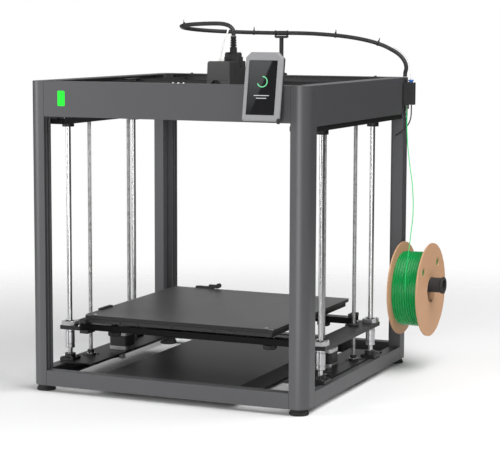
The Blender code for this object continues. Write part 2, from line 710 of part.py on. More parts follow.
# ---- spool --------------------------------------------------------------------------------
def build_spool():
    width = SPOOL_X[1] - SPOOL_X[0]
    middle = (0.5 * (SPOOL_X[0] + SPOOL_X[1]), SPOOL_Y, SPOOL_Z)
    side = width / 2
    inner = side - SPOOL_CARD
    reel = [
        (SPOOL_BORE, side), (SPOOL_RADIUS, side), (SPOOL_RADIUS, inner), (SPOOL_HUB, inner),
        (SPOOL_HUB, -inner), (SPOOL_RADIUS, -inner), (SPOOL_RADIUS, -side), (SPOOL_BORE, -side),
    ]
    finish(as_mesh(turned(reel, middle, "X", steps=48)), "spool", "card")
    wound = inner - GAP
    hub = SPOOL_HUB + GAP
    coil = [(hub, wound), (WINDING_RADIUS, wound), (WINDING_RADIUS, -wound), (hub, -wound)]
    finish(as_mesh(turned(coil, middle, "X", steps=48)), "filament_winding", "green_filament")
    axis_z = SPOOL_Z + SPOOL_BORE - HOLDER_RADIUS - GAP
    wall = HALF_WIDTH + GAP
    pad = block(
        (wall, SPOOL_Y - 0.0120, axis_z - 0.0300),
        (wall + HOLDER_PAD, HALF_DEPTH - 0.0060, axis_z + 0.0300),
    )
    length = HOLDER_END - wall - HOLDER_PAD / 2
    tube = cylinder(HOLDER_RADIUS, (HOLDER_END - length / 2, SPOOL_Y, axis_z), length, "X")
    lip = cylinder(HOLDER_RADIUS + 0.002, (HOLDER_END - 0.0030, SPOOL_Y, axis_z), 0.0060, "X")
    finish(join(pad, [tube, lip], "spool_holder"), "spool_holder", "black_plastic")


# ---- cable post, filament sensor, power inlet ---------------------------------------------
def build_post():
    foot_z = FRAME_TOP + GAP
    saddle = SLEEVE_Z - SLEEVE_RADIUS - 2 * GAP
    post = cylinder(0.0046, (0, POST_Y, (foot_z + saddle - 0.003) / 2), saddle - 0.003 - foot_z, sides=16)
    bar = block((-0.0155, POST_Y - 0.0055, saddle - 0.0060), (0.0155, POST_Y + 0.0055, saddle))
    foot = block((-0.0110, POST_Y - 0.0090, foot_z), (0.0110, POST_Y + 0.0090, foot_z + 0.0040))
    finish(join(foot, [post, bar], "cable_post"), "cable_post", "black_plastic")


def build_sensor():
    (x0, x1), (y0, y1), (z0, z1) = SENSOR_X, SENSOR_Y, SENSOR_Z
    body = block((x0, y0, z0), (x1, y1, z1))
    bracket = block((HALF_WIDTH + GAP, y0 + 0.002, z0 - 0.0100), (x0 + 0.0010, HALF_DEPTH - 0.0200, z1))
    collet = cylinder(0.0062, (*COLLET, z1 + 0.0025), 0.0060, sides=16)
    finish(join(body, [bracket, collet], "filament_sensor"), "filament_sensor", "black_plastic")


def build_power_inlet():
    """Mains socket and switch in one flange on the rear base beam; the rocker is separate."""
    y0 = HALF_DEPTH + GAP
    y1 = y0 + INLET_DEPTH
    z0, z1 = INLET_Z
    body = block((INLET_X[0], y0, z0), (INLET_X[1], y1, z1))
    past = y1 + 0.0100
    socket = block(
        (INLET_X[0] + 0.0070, y0 + 0.0015, z0 + 0.0040), (INLET_X[0] + 0.0340, past, z1 - 0.0040)
    )
    bay = block((ROCKER_X - 0.0070, y0 + 0.0010, z0 + 0.0030), (ROCKER_X + 0.0070, past, z1 - 0.0030))
    finish(cut(body, [socket, bay], "power_inlet"), "power_inlet", "black_plastic")
    middle = (z0 + z1) / 2
    half = (z1 - z0) / 2 - 0.0045
    rocker = plate(
        [(-0.0010, half), (0.0042, half * 0.96), (0.0024, 0), (0.0042, -half * 0.96), (-0.0010, -half)],
        -0.0062, 0.0062, "X",
    )
    solid = as_mesh(rocker, upright=True)
    solid.location = (ROCKER_X, y0 + 0.0035, middle)
    solid.rotation_euler = (math.radians(-7), 0, 0)
    finish(solid, "power_rocker", "black_plastic")


def build_cover():
    """Folded sheet lid over the power supply and main board, between the base beams."""
    reach = HALF_DEPTH - BEAM_DEPTH - GAP
    low = FRAME_BOTTOM + 0.0012
    half, lip = COVER_HALF_WIDTH, 0.0100
    outline = [
        (-half, low), (-half + lip, low), (-half + lip, low + SKIN), (-half + SKIN, low + SKIN),
        (-half + SKIN, COVER_TOP - SKIN), (half - SKIN, COVER_TOP - SKIN), (half - SKIN, low + SKIN),
        (half - lip, low + SKIN), (half - lip, low), (half, low), (half, COVER_TOP), (-half, COVER_TOP),
    ]
    finish(as_mesh(plate(outline, -reach, reach, "Y")), "electronics_cover", "black_steel")


def build_cords():
    for name, route, radius, spacing, material in (
        ("cable_sleeve", SLEEVE_ROUTE, SLEEVE_RADIUS, 0.0180, "black_plastic"),
        ("feed_tube_rear", REAR_TUBE_ROUTE, TUBE_RADIUS, 0.0100, "white_tube"),
        ("feed_tube_head", HEAD_TUBE_ROUTE, TUBE_RADIUS, 0.0100, "white_tube"),
        ("sensor_lead", SENSOR_LEAD_ROUTE, SENSOR_LEAD_RADIUS, 0.0060, "black_plastic"),
        ("filament_strand", STRAND_ROUTE, STRAND_RADIUS, 0.0180, "green_filament"),
    ):
        finish(cord(route, radius, spacing), name, material)


clear_scene()
MODEL = make_collection(PARTS)
CUTTERS = make_collection("cutters")
ORIGIN = bpy.data.objects.new("printer_origin", None)
ORIGIN.location = (-CENTRE[0], -CENTRE[1], 0)
MODEL.objects.link(ORIGIN)

build_columns()
build_beams()
build_feet()
build_base_plates()
build_rods()
build_screws()
build_bed_motors()
build_top_rails()
build_top_motors()
build_bed_arms()
build_bearings()
build_bed()
build_gantry()
build_head()
build_screen()
build_spool()
build_post()
build_sensor()
build_power_inlet()
build_cover()
build_cords()
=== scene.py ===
"""Looks of a large open-frame filament printer, laid out as an add-on.

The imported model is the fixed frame.  Every piece made here takes its place from it, in metres,
with lengths given from the middle of the printer's footprint.
"""
import json
import math
import random

import bmesh
import bpy
from mathutils import Matrix, Vector, noise


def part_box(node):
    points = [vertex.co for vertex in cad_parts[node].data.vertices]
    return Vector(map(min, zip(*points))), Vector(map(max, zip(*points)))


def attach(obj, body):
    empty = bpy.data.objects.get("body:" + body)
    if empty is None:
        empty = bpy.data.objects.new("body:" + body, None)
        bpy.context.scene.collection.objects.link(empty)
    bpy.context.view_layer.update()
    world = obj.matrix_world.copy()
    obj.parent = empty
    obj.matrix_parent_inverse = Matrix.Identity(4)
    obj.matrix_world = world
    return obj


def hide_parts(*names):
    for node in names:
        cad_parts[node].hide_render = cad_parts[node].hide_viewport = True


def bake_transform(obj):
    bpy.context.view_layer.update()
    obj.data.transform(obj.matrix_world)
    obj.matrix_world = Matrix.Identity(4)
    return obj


bl_info = {
    "name": "Filament Printer Looks",
    "version": (1, 0, 0),
    "blender": (4, 5, 0),
    "location": "3D View > Sidebar > Printer",
    "description": "Builds the visible pieces of an open-frame filament printer around its packed model",
    "category": "Object",
}

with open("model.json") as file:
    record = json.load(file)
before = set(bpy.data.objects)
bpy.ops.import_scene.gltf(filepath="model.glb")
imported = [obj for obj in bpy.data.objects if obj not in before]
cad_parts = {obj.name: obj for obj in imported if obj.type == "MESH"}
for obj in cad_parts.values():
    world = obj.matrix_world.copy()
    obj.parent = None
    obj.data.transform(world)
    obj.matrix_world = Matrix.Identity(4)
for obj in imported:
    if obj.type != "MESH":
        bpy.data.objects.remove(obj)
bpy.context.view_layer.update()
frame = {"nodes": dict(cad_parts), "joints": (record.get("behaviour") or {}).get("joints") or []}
SIDES = (("left", -1), ("right", 1))
ENDS = (("front", -1), ("rear", 1))


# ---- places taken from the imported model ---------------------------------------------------
def middle_of_footprint():
    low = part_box("column_front_left")[0]
    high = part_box("column_rear_right")[1]
    return Vector(((low.x + high.x) / 2, (low.y + high.y) / 2, 0))


MIDDLE = middle_of_footprint()


def corners(node):
    """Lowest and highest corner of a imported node, from the middle of the footprint."""
    low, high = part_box(node)
    return low - MIDDLE, high - MIDDLE


def centre(node):
    low, high = corners(node)
    return (low + high) / 2


HALF_WIDTH = corners("column_front_right")[1].x
HALF_DEPTH = corners("column_rear_right")[1].y
FRAME_BOTTOM, FRAME_TOP = (corner.z for corner in corners("column_front_right"))
ROD = {(side, end): centre(f"rod_{end}_{side}") for side, _ in SIDES for end, _ in ENDS}
SCREW = {(side, end): centre(f"lead_screw_{end}_{side}") for side, _ in SIDES for end, _ in ENDS}
HEAD_LOW, HEAD_HIGH = corners("head_cover")
SCREEN_PIVOT = Vector(next(j for j in frame["joints"] if j["name"] == "screen_tilt")["pos_m"]) - MIDDLE
REEL_AXIS = Vector(next(j for j in frame["joints"] if j["name"] == "reel_spin")["pos_m"]) - MIDDLE
SCREEN_TILT = math.radians(10)

# routes of the cords, each a list of points chosen along its run
SLEEVE_ROUTE = [
    (0.2840, 0.2830, 0.6145), (0.2842, 0.2830, 0.6230), (0.2865, 0.2825, 0.6330),
    (0.2835, 0.2820, 0.6455), (0.2730, 0.2815, 0.6590), (0.2560, 0.2812, 0.6700),
    (0.2300, 0.2812, 0.6815), (0.1940, 0.2815, 0.6910), (0.1450, 0.2820, 0.6985),
    (0.0865, 0.2825, 0.7030), (0.0400, 0.2830, 0.7045), (0.0000, 0.2830, 0.7045),
    (-0.0350, 0.2820, 0.7048), (-0.0750, 0.2740, 0.7056), (-0.1130, 0.2540, 0.7070),
    (-0.1430, 0.2220, 0.7090), (-0.1610, 0.1800, 0.7120), (-0.1640, 0.1350, 0.7155),
    (-0.1510, 0.0960, 0.7190), (-0.1220, 0.0660, 0.7220), (-0.0850, 0.0450, 0.7240),
    (-0.0480, 0.0310, 0.7250), (-0.0220, 0.0222, 0.7244), (-0.0050, 0.0170, 0.7205),
    (0.0040, 0.0148, 0.7135), (0.0060, 0.0145, 0.7070), (0.0060, 0.0145, 0.7003),
]
SLEEVE_SPLIT = 18       # point of the route where the gantry takes over from the frame
REAR_TUBE_ROUTE = [
    (0.3090, 0.2480, 0.6099), (0.3090, 0.2480, 0.6180), (0.3082, 0.2488, 0.6290),
    (0.3050, 0.2515, 0.6410), (0.2985, 0.2565, 0.6530), (0.2885, 0.2625, 0.6630),
    (0.2760, 0.2675, 0.6710), (0.2640, 0.2700, 0.6765),
]
HEAD_TUBE_ROUTE = [
    (-0.0120, -0.0060, 0.6563), (-0.0118, -0.0058, 0.6640), (-0.0105, -0.0040, 0.6760),
    (-0.0080, -0.0015, 0.6880), (-0.0052, 0.0010, 0.6985), (-0.0030, 0.0050, 0.7080),
    (-0.0040, 0.0110, 0.7155),
]
SENSOR_LEAD_ROUTE = [
    (0.3105, 0.2480, 0.5565), (0.3105, 0.2480, 0.5460), (0.3100, 0.2475, 0.5320),
    (0.3065, 0.2460, 0.5190), (0.2990, 0.2440, 0.5080), (0.2895, 0.2425, 0.4990),
    (0.2825, 0.2425, 0.4945), (0.2785, 0.2440, 0.4930), (0.2780, 0.2472, 0.4930),
]
STRAND_ROUTE = [
    (0.3340, 0.1521, 0.1750), (0.3345, 0.1540, 0.2050), (0.3355, 0.1640, 0.2450),
    (0.3370, 0.1760, 0.2900), (0.3370, 0.1900, 0.3400), (0.3300, 0.2040, 0.3900),
    (0.3190, 0.2170, 0.4350), (0.3100, 0.2290, 0.4750), (0.3040, 0.2400, 0.5150),
    (0.3010, 0.2470, 0.5450), (0.3005, 0.2480, 0.5565),
]


# ---- settings -----------------------------------------------------------------------------
def colour(name, description, value):
    return bpy.props.FloatVectorProperty(
        name=name, description=description, subtype="COLOR", size=3, min=0, max=1, default=value
    )


def length(name, description, value):
    return bpy.props.FloatProperty(
        name=name, description=description, unit="LENGTH", min=0, default=value, precision=4
    )


def amount(name, description, value, top=1.0):
    return bpy.props.FloatProperty(name=name, description=description, min=0, max=top, default=value)


class PrinterColours(bpy.types.PropertyGroup):
    """Base colours of the printer's finishes."""

    frame_paint: colour("Frame Paint", "Powder coat on columns and beams", (0.017, 0.017, 0.0175))
    black_steel: colour("Black Steel", "Satin coat on plates and arms", (0.011, 0.011, 0.012))
    cover_steel: colour("Cover Steel", "Coat on the lid over the electronics", (0.020, 0.020, 0.021))
    rod_steel: colour("Rod Steel", "Ground rods and lead screws", (0.500, 0.500, 0.505))
    aluminium: colour("Aluminium", "Bearings and motor ends", (0.500, 0.500, 0.510))
    black_plastic: colour("Black Plastic", "Moulded black pieces", (0.013, 0.013, 0.014))
    grey_plastic: colour("Grey Plastic", "Screen bezel and head front", (0.215, 0.215, 0.220))
    print_sheet: colour("Print Sheet", "Coated spring-steel print sheet", (0.060, 0.060, 0.061))
    card: colour("Card", "Pressed card of the spool", (0.620, 0.360, 0.225))
    filament: colour("Filament", "Wound filament", (0.000, 0.250, 0.045))
    status: colour("Status Light", "Lit lens on the fascia", (0.000, 1.000, 0.020))


class PrinterSizes(bpy.types.PropertyGroup):
    """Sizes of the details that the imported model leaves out."""

    edge: length("Edge Radius", "Rounding of folded and moulded edges", 0.0006)
    thread_pitch: length("Thread Pitch", "Height between ridges of the lead screws", 0.0020)
    thread_depth: length("Thread Depth", "Depth of the lead screws' ridges", 0.0006)
    filament: length("Filament", "Diameter of the wound filament", 0.00175)
    belt_width: length("Belt Width", "Width of the toothed belts", 0.0060)
    belt_thickness: length("Belt Thickness", "Thickness of the toothed belts", 0.0014)
    tie_width: length("Tie Width", "Width of the cable ties", 0.0026)


class PrinterStudio(bpy.types.PropertyGroup):
    """Light in the studio."""

    sky: amount("Surroundings", "Brightness of the grey surroundings", 0.28, 5)
    front: amount("Front Softbox", "Power of the softbox beside the camera, in watts", 42, 500)
    side: amount("Side Softbox", "Power of the softbox at the left, in watts", 60, 500)
    top: amount("Top Softbox", "Power of the softbox overhead, in watts", 88, 500)


def colours():
    return bpy.context.scene.printer_colours


def sizes():
    return bpy.context.scene.printer_sizes


# ---- shader maths -------------------------------------------------------------------------
class Wire:
    """One output inside a material, with arithmetic on its values."""

    def __init__(self, net, socket):
        self.net = net
        self.socket = socket

    def math(self, operation, *values):
        return self.net.node("ShaderNodeMath", {"operation": operation}, dict(enumerate(values)))

    def __add__(self, other):
        return self.math("ADD", self, other)

    def __sub__(self, other):
        return self.math("SUBTRACT", self, other)

    def __rsub__(self, other):
        return self.math("SUBTRACT", other, self)

    def __mul__(self, other):
        return self.math("MULTIPLY", self, other)

    __radd__ = __add__
    __rmul__ = __mul__

    def sine(self):
        return self.math("SINE", self)

    def above(self, edge, width):
        """0 below an edge and 1 above it, over a soft width."""
        return self.net.node(
            "ShaderNodeMapRange", {"interpolation_type": "SMOOTHSTEP"},
            {"Value": self, "From Min": edge - width / 2, "From Max": edge + width / 2},
        )


class Net:
    """A material's node tree, built from expressions."""

    def __init__(self, name):
        self.material = bpy.data.materials.new(name)
        self.material.use_nodes = True
        self.tree = self.material.node_tree
        self.tree.nodes.clear()
        self.place = self.node("ShaderNodeTexCoord", output="Object")

    def node(self, kind, settings=None, inputs=None, output=0):
        made = self.tree.nodes.new(kind)
        for key, value in (settings or {}).items():
            if key == "stops":
                for stop, (position, shade) in zip(made.color_ramp.elements, value):
                    stop.position = position
                    stop.color = (*shade, 1)
            else:
                setattr(made, key, value)
        for key, value in (inputs or {}).items():
            if isinstance(value, Wire):
                self.tree.links.new(value.socket, made.inputs[key])
            else:
                made.inputs[key].default_value = value
        return Wire(self, made.outputs[output]) if made.outputs else None

    def stretched(self, stretch):
        return self.node(
            "ShaderNodeVectorMath", {"operation": "MULTIPLY"}, {0: self.place, 1: stretch}
        )

    def noise(self, scale, detail=2.0, stretch=None):
        """Soft noise from 0 to 1, with its scale in cells a metre."""
        vector = self.stretched(stretch) if stretch else self.place
        return self.node(
            "ShaderNodeTexNoise", None, {"Vector": vector, "Scale": scale, "Detail": detail}
        )

    def cells(self, scale, stretch=None):
        vector = self.stretched(stretch) if stretch else self.place
        return self.node("ShaderNodeTexVoronoi", None, {"Vector": vector, "Scale": scale})

    def axis(self, name):
        return self.node("ShaderNodeSeparateXYZ", None, {0: self.place}, output="XYZ".index(name))

    def uv(self, name):
        vector = self.node("ShaderNodeTexCoord", output="UV")
        return self.node("ShaderNodeSeparateXYZ", None, {0: vector}, output="XY".index(name))

    def mix(self, factor, first, second):
        """A colour between two, each a wire or three numbers."""
        inputs = {0: factor}
        for slot, value in ((6, first), (7, second)):
            inputs[slot] = value if isinstance(value, Wire) else (*value, 1)
        return self.node("ShaderNodeMix", {"data_type": "RGBA"}, inputs, output=2)

    def shade(self, base, low, high, factor):
        """A base colour made darker and lighter by a factor from 0 to 1."""
        return self.mix(factor, [low * c for c in base], [min(1, high * c) for c in base])

    def surface(self, base, roughness, metallic=0.0, height=None, depth=0.0001, **fixed):
        """Ends the material in one shader, with a bump if a height is given."""
        inputs = {
            "Base Color": base if isinstance(base, Wire) else (*base, 1),
            "Roughness": roughness, "Metallic": metallic,
        }
        inputs.update(
            {key.replace("_", " ").title().replace("Ior", "IOR"): value for key, value in fixed.items()}
        )
        if height is not None:
            inputs["Normal"] = self.node("ShaderNodeBump", None, {"Height": height, "Distance": depth})
        shader = self.node("ShaderNodeBsdfPrincipled", None, inputs)
        self.node("ShaderNodeOutputMaterial", None, {"Surface": shader})
        return self.material


# ---- finishes -----------------------------------------------------------------------------
def painted(name, base, roughness, metallic=0.0, grain=1100.0):
    """Powder coat: a fine orange peel, slow drift of tone and small rubbed specks."""
    net = Net(name)
    peel = net.noise(grain, 3.0)
    drift = net.noise(9.0, 2.0)
    specks = net.noise(260.0, 4.0).above(0.70, 0.06)
    tone = net.shade(base, 0.90, 1.10, drift)
    tone = net.mix(specks * 0.25, tone, [min(1, 1.6 * c) for c in base])
    rough = roughness + (peel - 0.5) * 0.16 + (drift - 0.5) * 0.08
    return net.surface(tone, rough, metallic, peel, 0.00006, specular_ior_level=0.8)


def frame_paint():
    return painted("frame_paint", colours().frame_paint, 0.40)


def black_steel():
    return painted("black_steel", colours().black_steel, 0.42, 0.20, 1500.0)


def black_aluminium():
    return painted("black_aluminium", [2.2 * c for c in colours().black_steel], 0.38, 0.20, 1800.0)


def cover_steel():
    return painted("cover_steel", colours().cover_steel, 0.36, 0.30, 1300.0)


def ground_steel(name, base, roughness, ring=5200.0):
    """Ground round steel: fine rings round the bar and long faint handling marks."""
    net = Net(name)
    rings = net.noise(1.0, 2.0, (60.0, 60.0, ring))
    marks = net.noise(1.0, 3.0, (120.0, 120.0, 9.0))
    tone = net.shade(base, 0.90, 1.05, marks)
    rough = roughness + (rings - 0.5) * 0.06 + marks.above(0.62, 0.1) * 0.04
    return net.surface(tone, rough, 1.0, rings, 0.0000015)


def rod_steel():
    return ground_steel("rod_steel", colours().rod_steel, 0.26)


def screw_steel():
    """Rolled thread with grease that has darkened in the grooves."""
    net = Net("screw_steel")
    base = colours().rod_steel
    grease = net.noise(130.0, 3.0)
    tone = net.mix(grease.above(0.58, 0.2) * 0.5, [0.8 * c for c in base], (0.16, 0.15, 0.13))
    return net.surface(tone, 0.22 + grease * 0.16, 1.0, grease, 0.00003)


def aluminium():
    """Machined aluminium with straight tool marks."""
    net = Net("aluminium")
    marks = net.noise(1.0, 3.0, (90.0, 3200.0, 90.0))
    cast = net.noise(45.0, 3.0)
    tone = net.shade(colours().aluminium, 0.82, 1.10, cast)
    return net.surface(tone, 0.26 + marks * 0.14, 1.0, marks, 0.00002)


def brass():
    net = Net("brass")
    marks = net.noise(1.0, 2.0, (300.0, 300.0, 4000.0))
    heat = net.noise(220.0, 2.0)
    tone = net.mix(heat, (0.46, 0.27, 0.07), (0.62, 0.40, 0.13))
    return net.surface(tone, 0.24 + marks * 0.12, 1.0, marks, 0.00002)


def moulded(name, base, roughness, grain=1900.0, depth=0.00005):
    """Injection-moulded plastic: spark-eroded texture and a slow change of sheen."""
    net = Net(name)
    texture = net.cells(grain) * 0.6 + net.noise(grain * 0.6, 3.0) * 0.4
    drift = net.noise(30.0, 2.0)
    tone = net.shade(base, 0.88, 1.12, drift)
    return net.surface(tone, roughness + (texture - 0.5) * 0.14, 0.0, texture, depth)


def black_plastic():
    return moulded("black_plastic", colours().black_plastic, 0.42)


def grey_plastic():
    return moulded("grey_plastic", colours().grey_plastic, 0.40, 2300.0, 0.00003)


def head_plastic():
    return moulded("head_plastic", (0.060, 0.060, 0.062), 0.42, 2100.0, 0.00004)


def rubber():
    return moulded("rubber", (0.010, 0.010, 0.010), 0.62, 1200.0, 0.00008)


def belt_rubber():
    """Toothed belt: ribs across its back and a dusty sheen."""
    net = Net("belt_rubber")
    ribs = ((net.axis("X") + net.axis("Y")) * (math.tau / 0.002)).sine()
    dust = net.noise(500.0, 3.0)
    tone = net.mix(dust, (0.008, 0.008, 0.008), (0.030, 0.030, 0.030))
    return net.surface(tone, 0.55 + dust * 0.15, 0.0, ribs * 0.5 + 0.5, 0.0002)


def print_sheet():
    """Textured print coating: tight grains that catch light, and faint worn prints."""
    net = Net("print_sheet")
    grains = net.cells(1500.0)
    coarse = net.noise(700.0, 4.0)
    worn = net.noise(11.0, 3.0)
    base = colours().print_sheet
    tone = net.shade(base, 0.80, 1.16, worn)
    tone = net.mix(coarse.above(0.66, 0.08) * 0.35, tone, [2.2 * c for c in base])
    rough = 0.40 + (worn - 0.5) * 0.10 + (grains - 0.5) * 0.12
    return net.surface(tone, rough, 0.0, grains * 0.5 + coarse * 0.5, 0.00012, specular_ior_level=0.25)


def card():
    """Pressed card: fibres along and across, flecks, and darker scuffs."""
    net = Net("card")
    base = colours().card
    fibres = net.noise(1.0, 4.0, (700.0, 240.0, 1500.0))
    flecks = net.noise(900.0, 4.0).above(0.66, 0.05)
    scuffs = net.noise(38.0, 4.0)
    tone = net.shade(base, 0.86, 1.10, fibres)
    tone = net.mix(flecks * 0.35, tone, (0.24, 0.13, 0.07))
    tone = net.mix(scuffs.above(0.60, 0.18) * 0.30, tone, (0.60, 0.38, 0.24))
    return net.surface(tone, 0.72 + (fibres - 0.5) * 0.16, 0.0, fibres, 0.00012)


def green_filament():
    """Extruded plastic strand: glossy, with a slow change of tone along the winding."""
    net = Net("green_filament")
    drift = net.noise(60.0, 3.0)
    tone = net.shade(colours().filament, 0.72, 1.25, drift)
    return net.surface(tone, 0.30 + drift * 0.12, 0.0, net.noise(900.0, 2.0), 0.00002,
                       specular_ior_level=0.3)


def painted_backlit_filament():
    """The single strand on its way up, painted a brighter green than the winding to stand for daylight coming
    through it.
    """
    net = Net("painted_backlit_filament")
    drift = net.noise(60.0, 3.0)
    # painted light: this green is a brighter copy of the winding's colour, standing in for light shining
    # through the strand
    tone = net.shade((0.010, 0.620, 0.150), 0.80, 1.15, drift)
    return net.surface(tone, 0.28 + drift * 0.12, 0.0, subsurface_weight=0.3, specular_ior_level=0.4)


def white_tube():
    """Slippery feed tube, milky at its wall, with faint smears."""
    net = Net("white_tube")
    smears = net.noise(160.0, 3.0)
    tone = net.mix(smears, (0.86, 0.86, 0.84), (0.72, 0.72, 0.70))
    return net.surface(tone, 0.26 + smears * 0.12, 0.0, smears, 0.00002, subsurface_weight=0.2)


def clear_tube():
    net = Net("clear_tube")
    smears = net.noise(300.0, 2.0)
    tone = net.mix(smears, (0.90, 0.92, 0.90), (0.80, 0.84, 0.82))
    return net.surface(tone, 0.12 + smears * 0.10, 0.0, transmission_weight=0.85, ior=1.38)


def braided_sleeve():
    """Woven cable sleeve: two sets of strands that cross over and under each other, with painted shade where
    they dip under and painted highlight where they rise.
    """
    net = Net("braided_sleeve")
    around = net.uv("X") * (math.tau * 12)
    along = net.uv("Y") * (math.tau / 0.0045)
    weave = (around + along).sine() * (around - along).sine()
    lift = weave * 0.5 + 0.5
    # painted shade and highlight: the strands are coloured darker where they dip under and lighter where they
    # rise
    tone = net.mix(lift, (0.006, 0.006, 0.006), (0.030, 0.030, 0.031))
    return net.surface(tone, 0.40 + lift * 0.12, 0.0, lift, 0.0004)


def cable_black():
    return moulded("cable_black", (0.012, 0.012, 0.012), 0.35, 900.0, 0.00003)


def motor_steel():
    """Stack of steel sheets, painted black, with thin bright edges showing through."""
    net = Net("motor_steel")
    layers = (net.axis("Z") * (math.tau / 0.0005)).sine() * 0.5 + 0.5
    rubbed = net.noise(300.0, 3.0)
    tone = net.mix(layers * rubbed, (0.010, 0.010, 0.010), (0.045, 0.045, 0.046))
    return net.surface(tone, 0.40 + rubbed * 0.15, 0.5, layers, 0.00015)


def fastener():
    """Black-oxide screw with edges rubbed bright."""
    net = Net("fastener")
    rubbed = net.noise(700.0, 3.0)
    tone = net.mix(rubbed.above(0.60, 0.15), (0.035, 0.035, 0.037), (0.30, 0.30, 0.31))
    return net.surface(tone, 0.30 + rubbed * 0.15, 0.9, rubbed, 0.00003)


def bright_fastener():
    net = Net("bright_fastener")
    rubbed = net.noise(700.0, 3.0)
    tone = net.shade((0.62, 0.62, 0.63), 0.75, 1.1, rubbed)
    return net.surface(tone, 0.22 + rubbed * 0.15, 1.0, rubbed, 0.00003)


def insulation():
    """Grey foam board under the heated bed, with a fine closed-cell face."""
    net = Net("insulation")
    foam = net.cells(1100.0)
    tone = net.shade((0.012, 0.012, 0.012), 0.75, 1.25, foam)
    return net.surface(tone, 0.62 + foam * 0.1, 0.1, foam, 0.00015)


def blue_collet():
    return moulded("blue_collet", (0.010, 0.110, 0.420), 0.34, 2400.0, 0.00002)


def screen_glass():
    """Black cover glass: a painted pale reflection slanting over its left half, and faint finger marks."""
    net = Net("screen_glass")
    marks = net.noise(85.0, 4.0)
    pivot = SCREEN_PIVOT + MIDDLE
    # painted reflection: a pale band is painted into the glass's colour over its left half, growing stronger
    # towards the top
    slant = (net.axis("X") - pivot.x) * 2.6 - (net.axis("Z") - pivot.z - 0.070)
    sheen = 1 - slant.above(-0.004, 0.016)
    height = (net.axis("Z") - pivot.z) * 8.0
    tone = net.mix(marks, (0.003, 0.003, 0.004), (0.007, 0.007, 0.008))
    tone = net.mix(sheen * height, tone, (0.080, 0.082, 0.084))
    return net.surface(tone, 0.06 + marks.above(0.6, 0.2) * 0.08, 0.0)


def lit(name, shade, strength):
    """A lit panel, a little brighter in its middle than at its grain."""
    net = Net(name)
    grain = net.noise(900.0, 2.0)
    glow = net.shade(shade, 0.92, 1.05, grain)
    return net.surface([0.4 * c for c in shade], 0.35, 0.0,
                       emission_color=glow, emission_strength=strength)


def status_lens():
    return lit("status_lens", colours().status, 1.0)


def screen_mark():
    return lit("screen_mark", (0.16, 0.62, 0.30), 0.8)


def screen_line():
    return lit("screen_line", (0.55, 0.57, 0.58), 0.7)


def material(finish):
    return bpy.data.materials.get(finish.__name__) or finish()


# ---- shapes -------------------------------------------------------------------------------
def arc(middle, radius, start, end, steps):
    """Points on an arc, from one angle to another in degrees."""
    angles = [math.radians(start + (end - start) * i / steps) for i in range(steps + 1)]
    return [(middle[0] + radius * math.cos(a), middle[1] + radius * math.sin(a)) for a in angles]


def rounded(low, high, radius, steps=6):
    """Outline of a rectangle with round corners."""
    (u0, v0), (u1, v1) = low, high
    r = radius
    return (arc((u1 - r, v0 + r), r, -90, 0, steps) + arc((u1 - r, v1 - r), r, 0, 90, steps)
            + arc((u0 + r, v1 - r), r, 90, 180, steps) + arc((u0 + r, v0 + r), r, 180, 270, steps))


def smooth_route(points, spacing):
    """Points about one spacing apart on a smooth curve through the given ones."""
    route = [Vector(p) for p in points]
    ends = [2 * route[0] - route[1], *route, 2 * route[-1] - route[-2]]
    fine = []
    for i in range(1, len(ends) - 2):
        a, b, c, d = ends[i - 1:i + 3]
        count = max(1, round((c - b).length / spacing))
        for step in range(count):
            t = step / count
            fine.append(
                0.5 * (2 * b + (c - a) * t + (2 * a - 5 * b + 4 * c - d) * t**2
                       + (3 * b - a - 3 * c + d) * t**3)
            )
    return fine + [route[-1]]


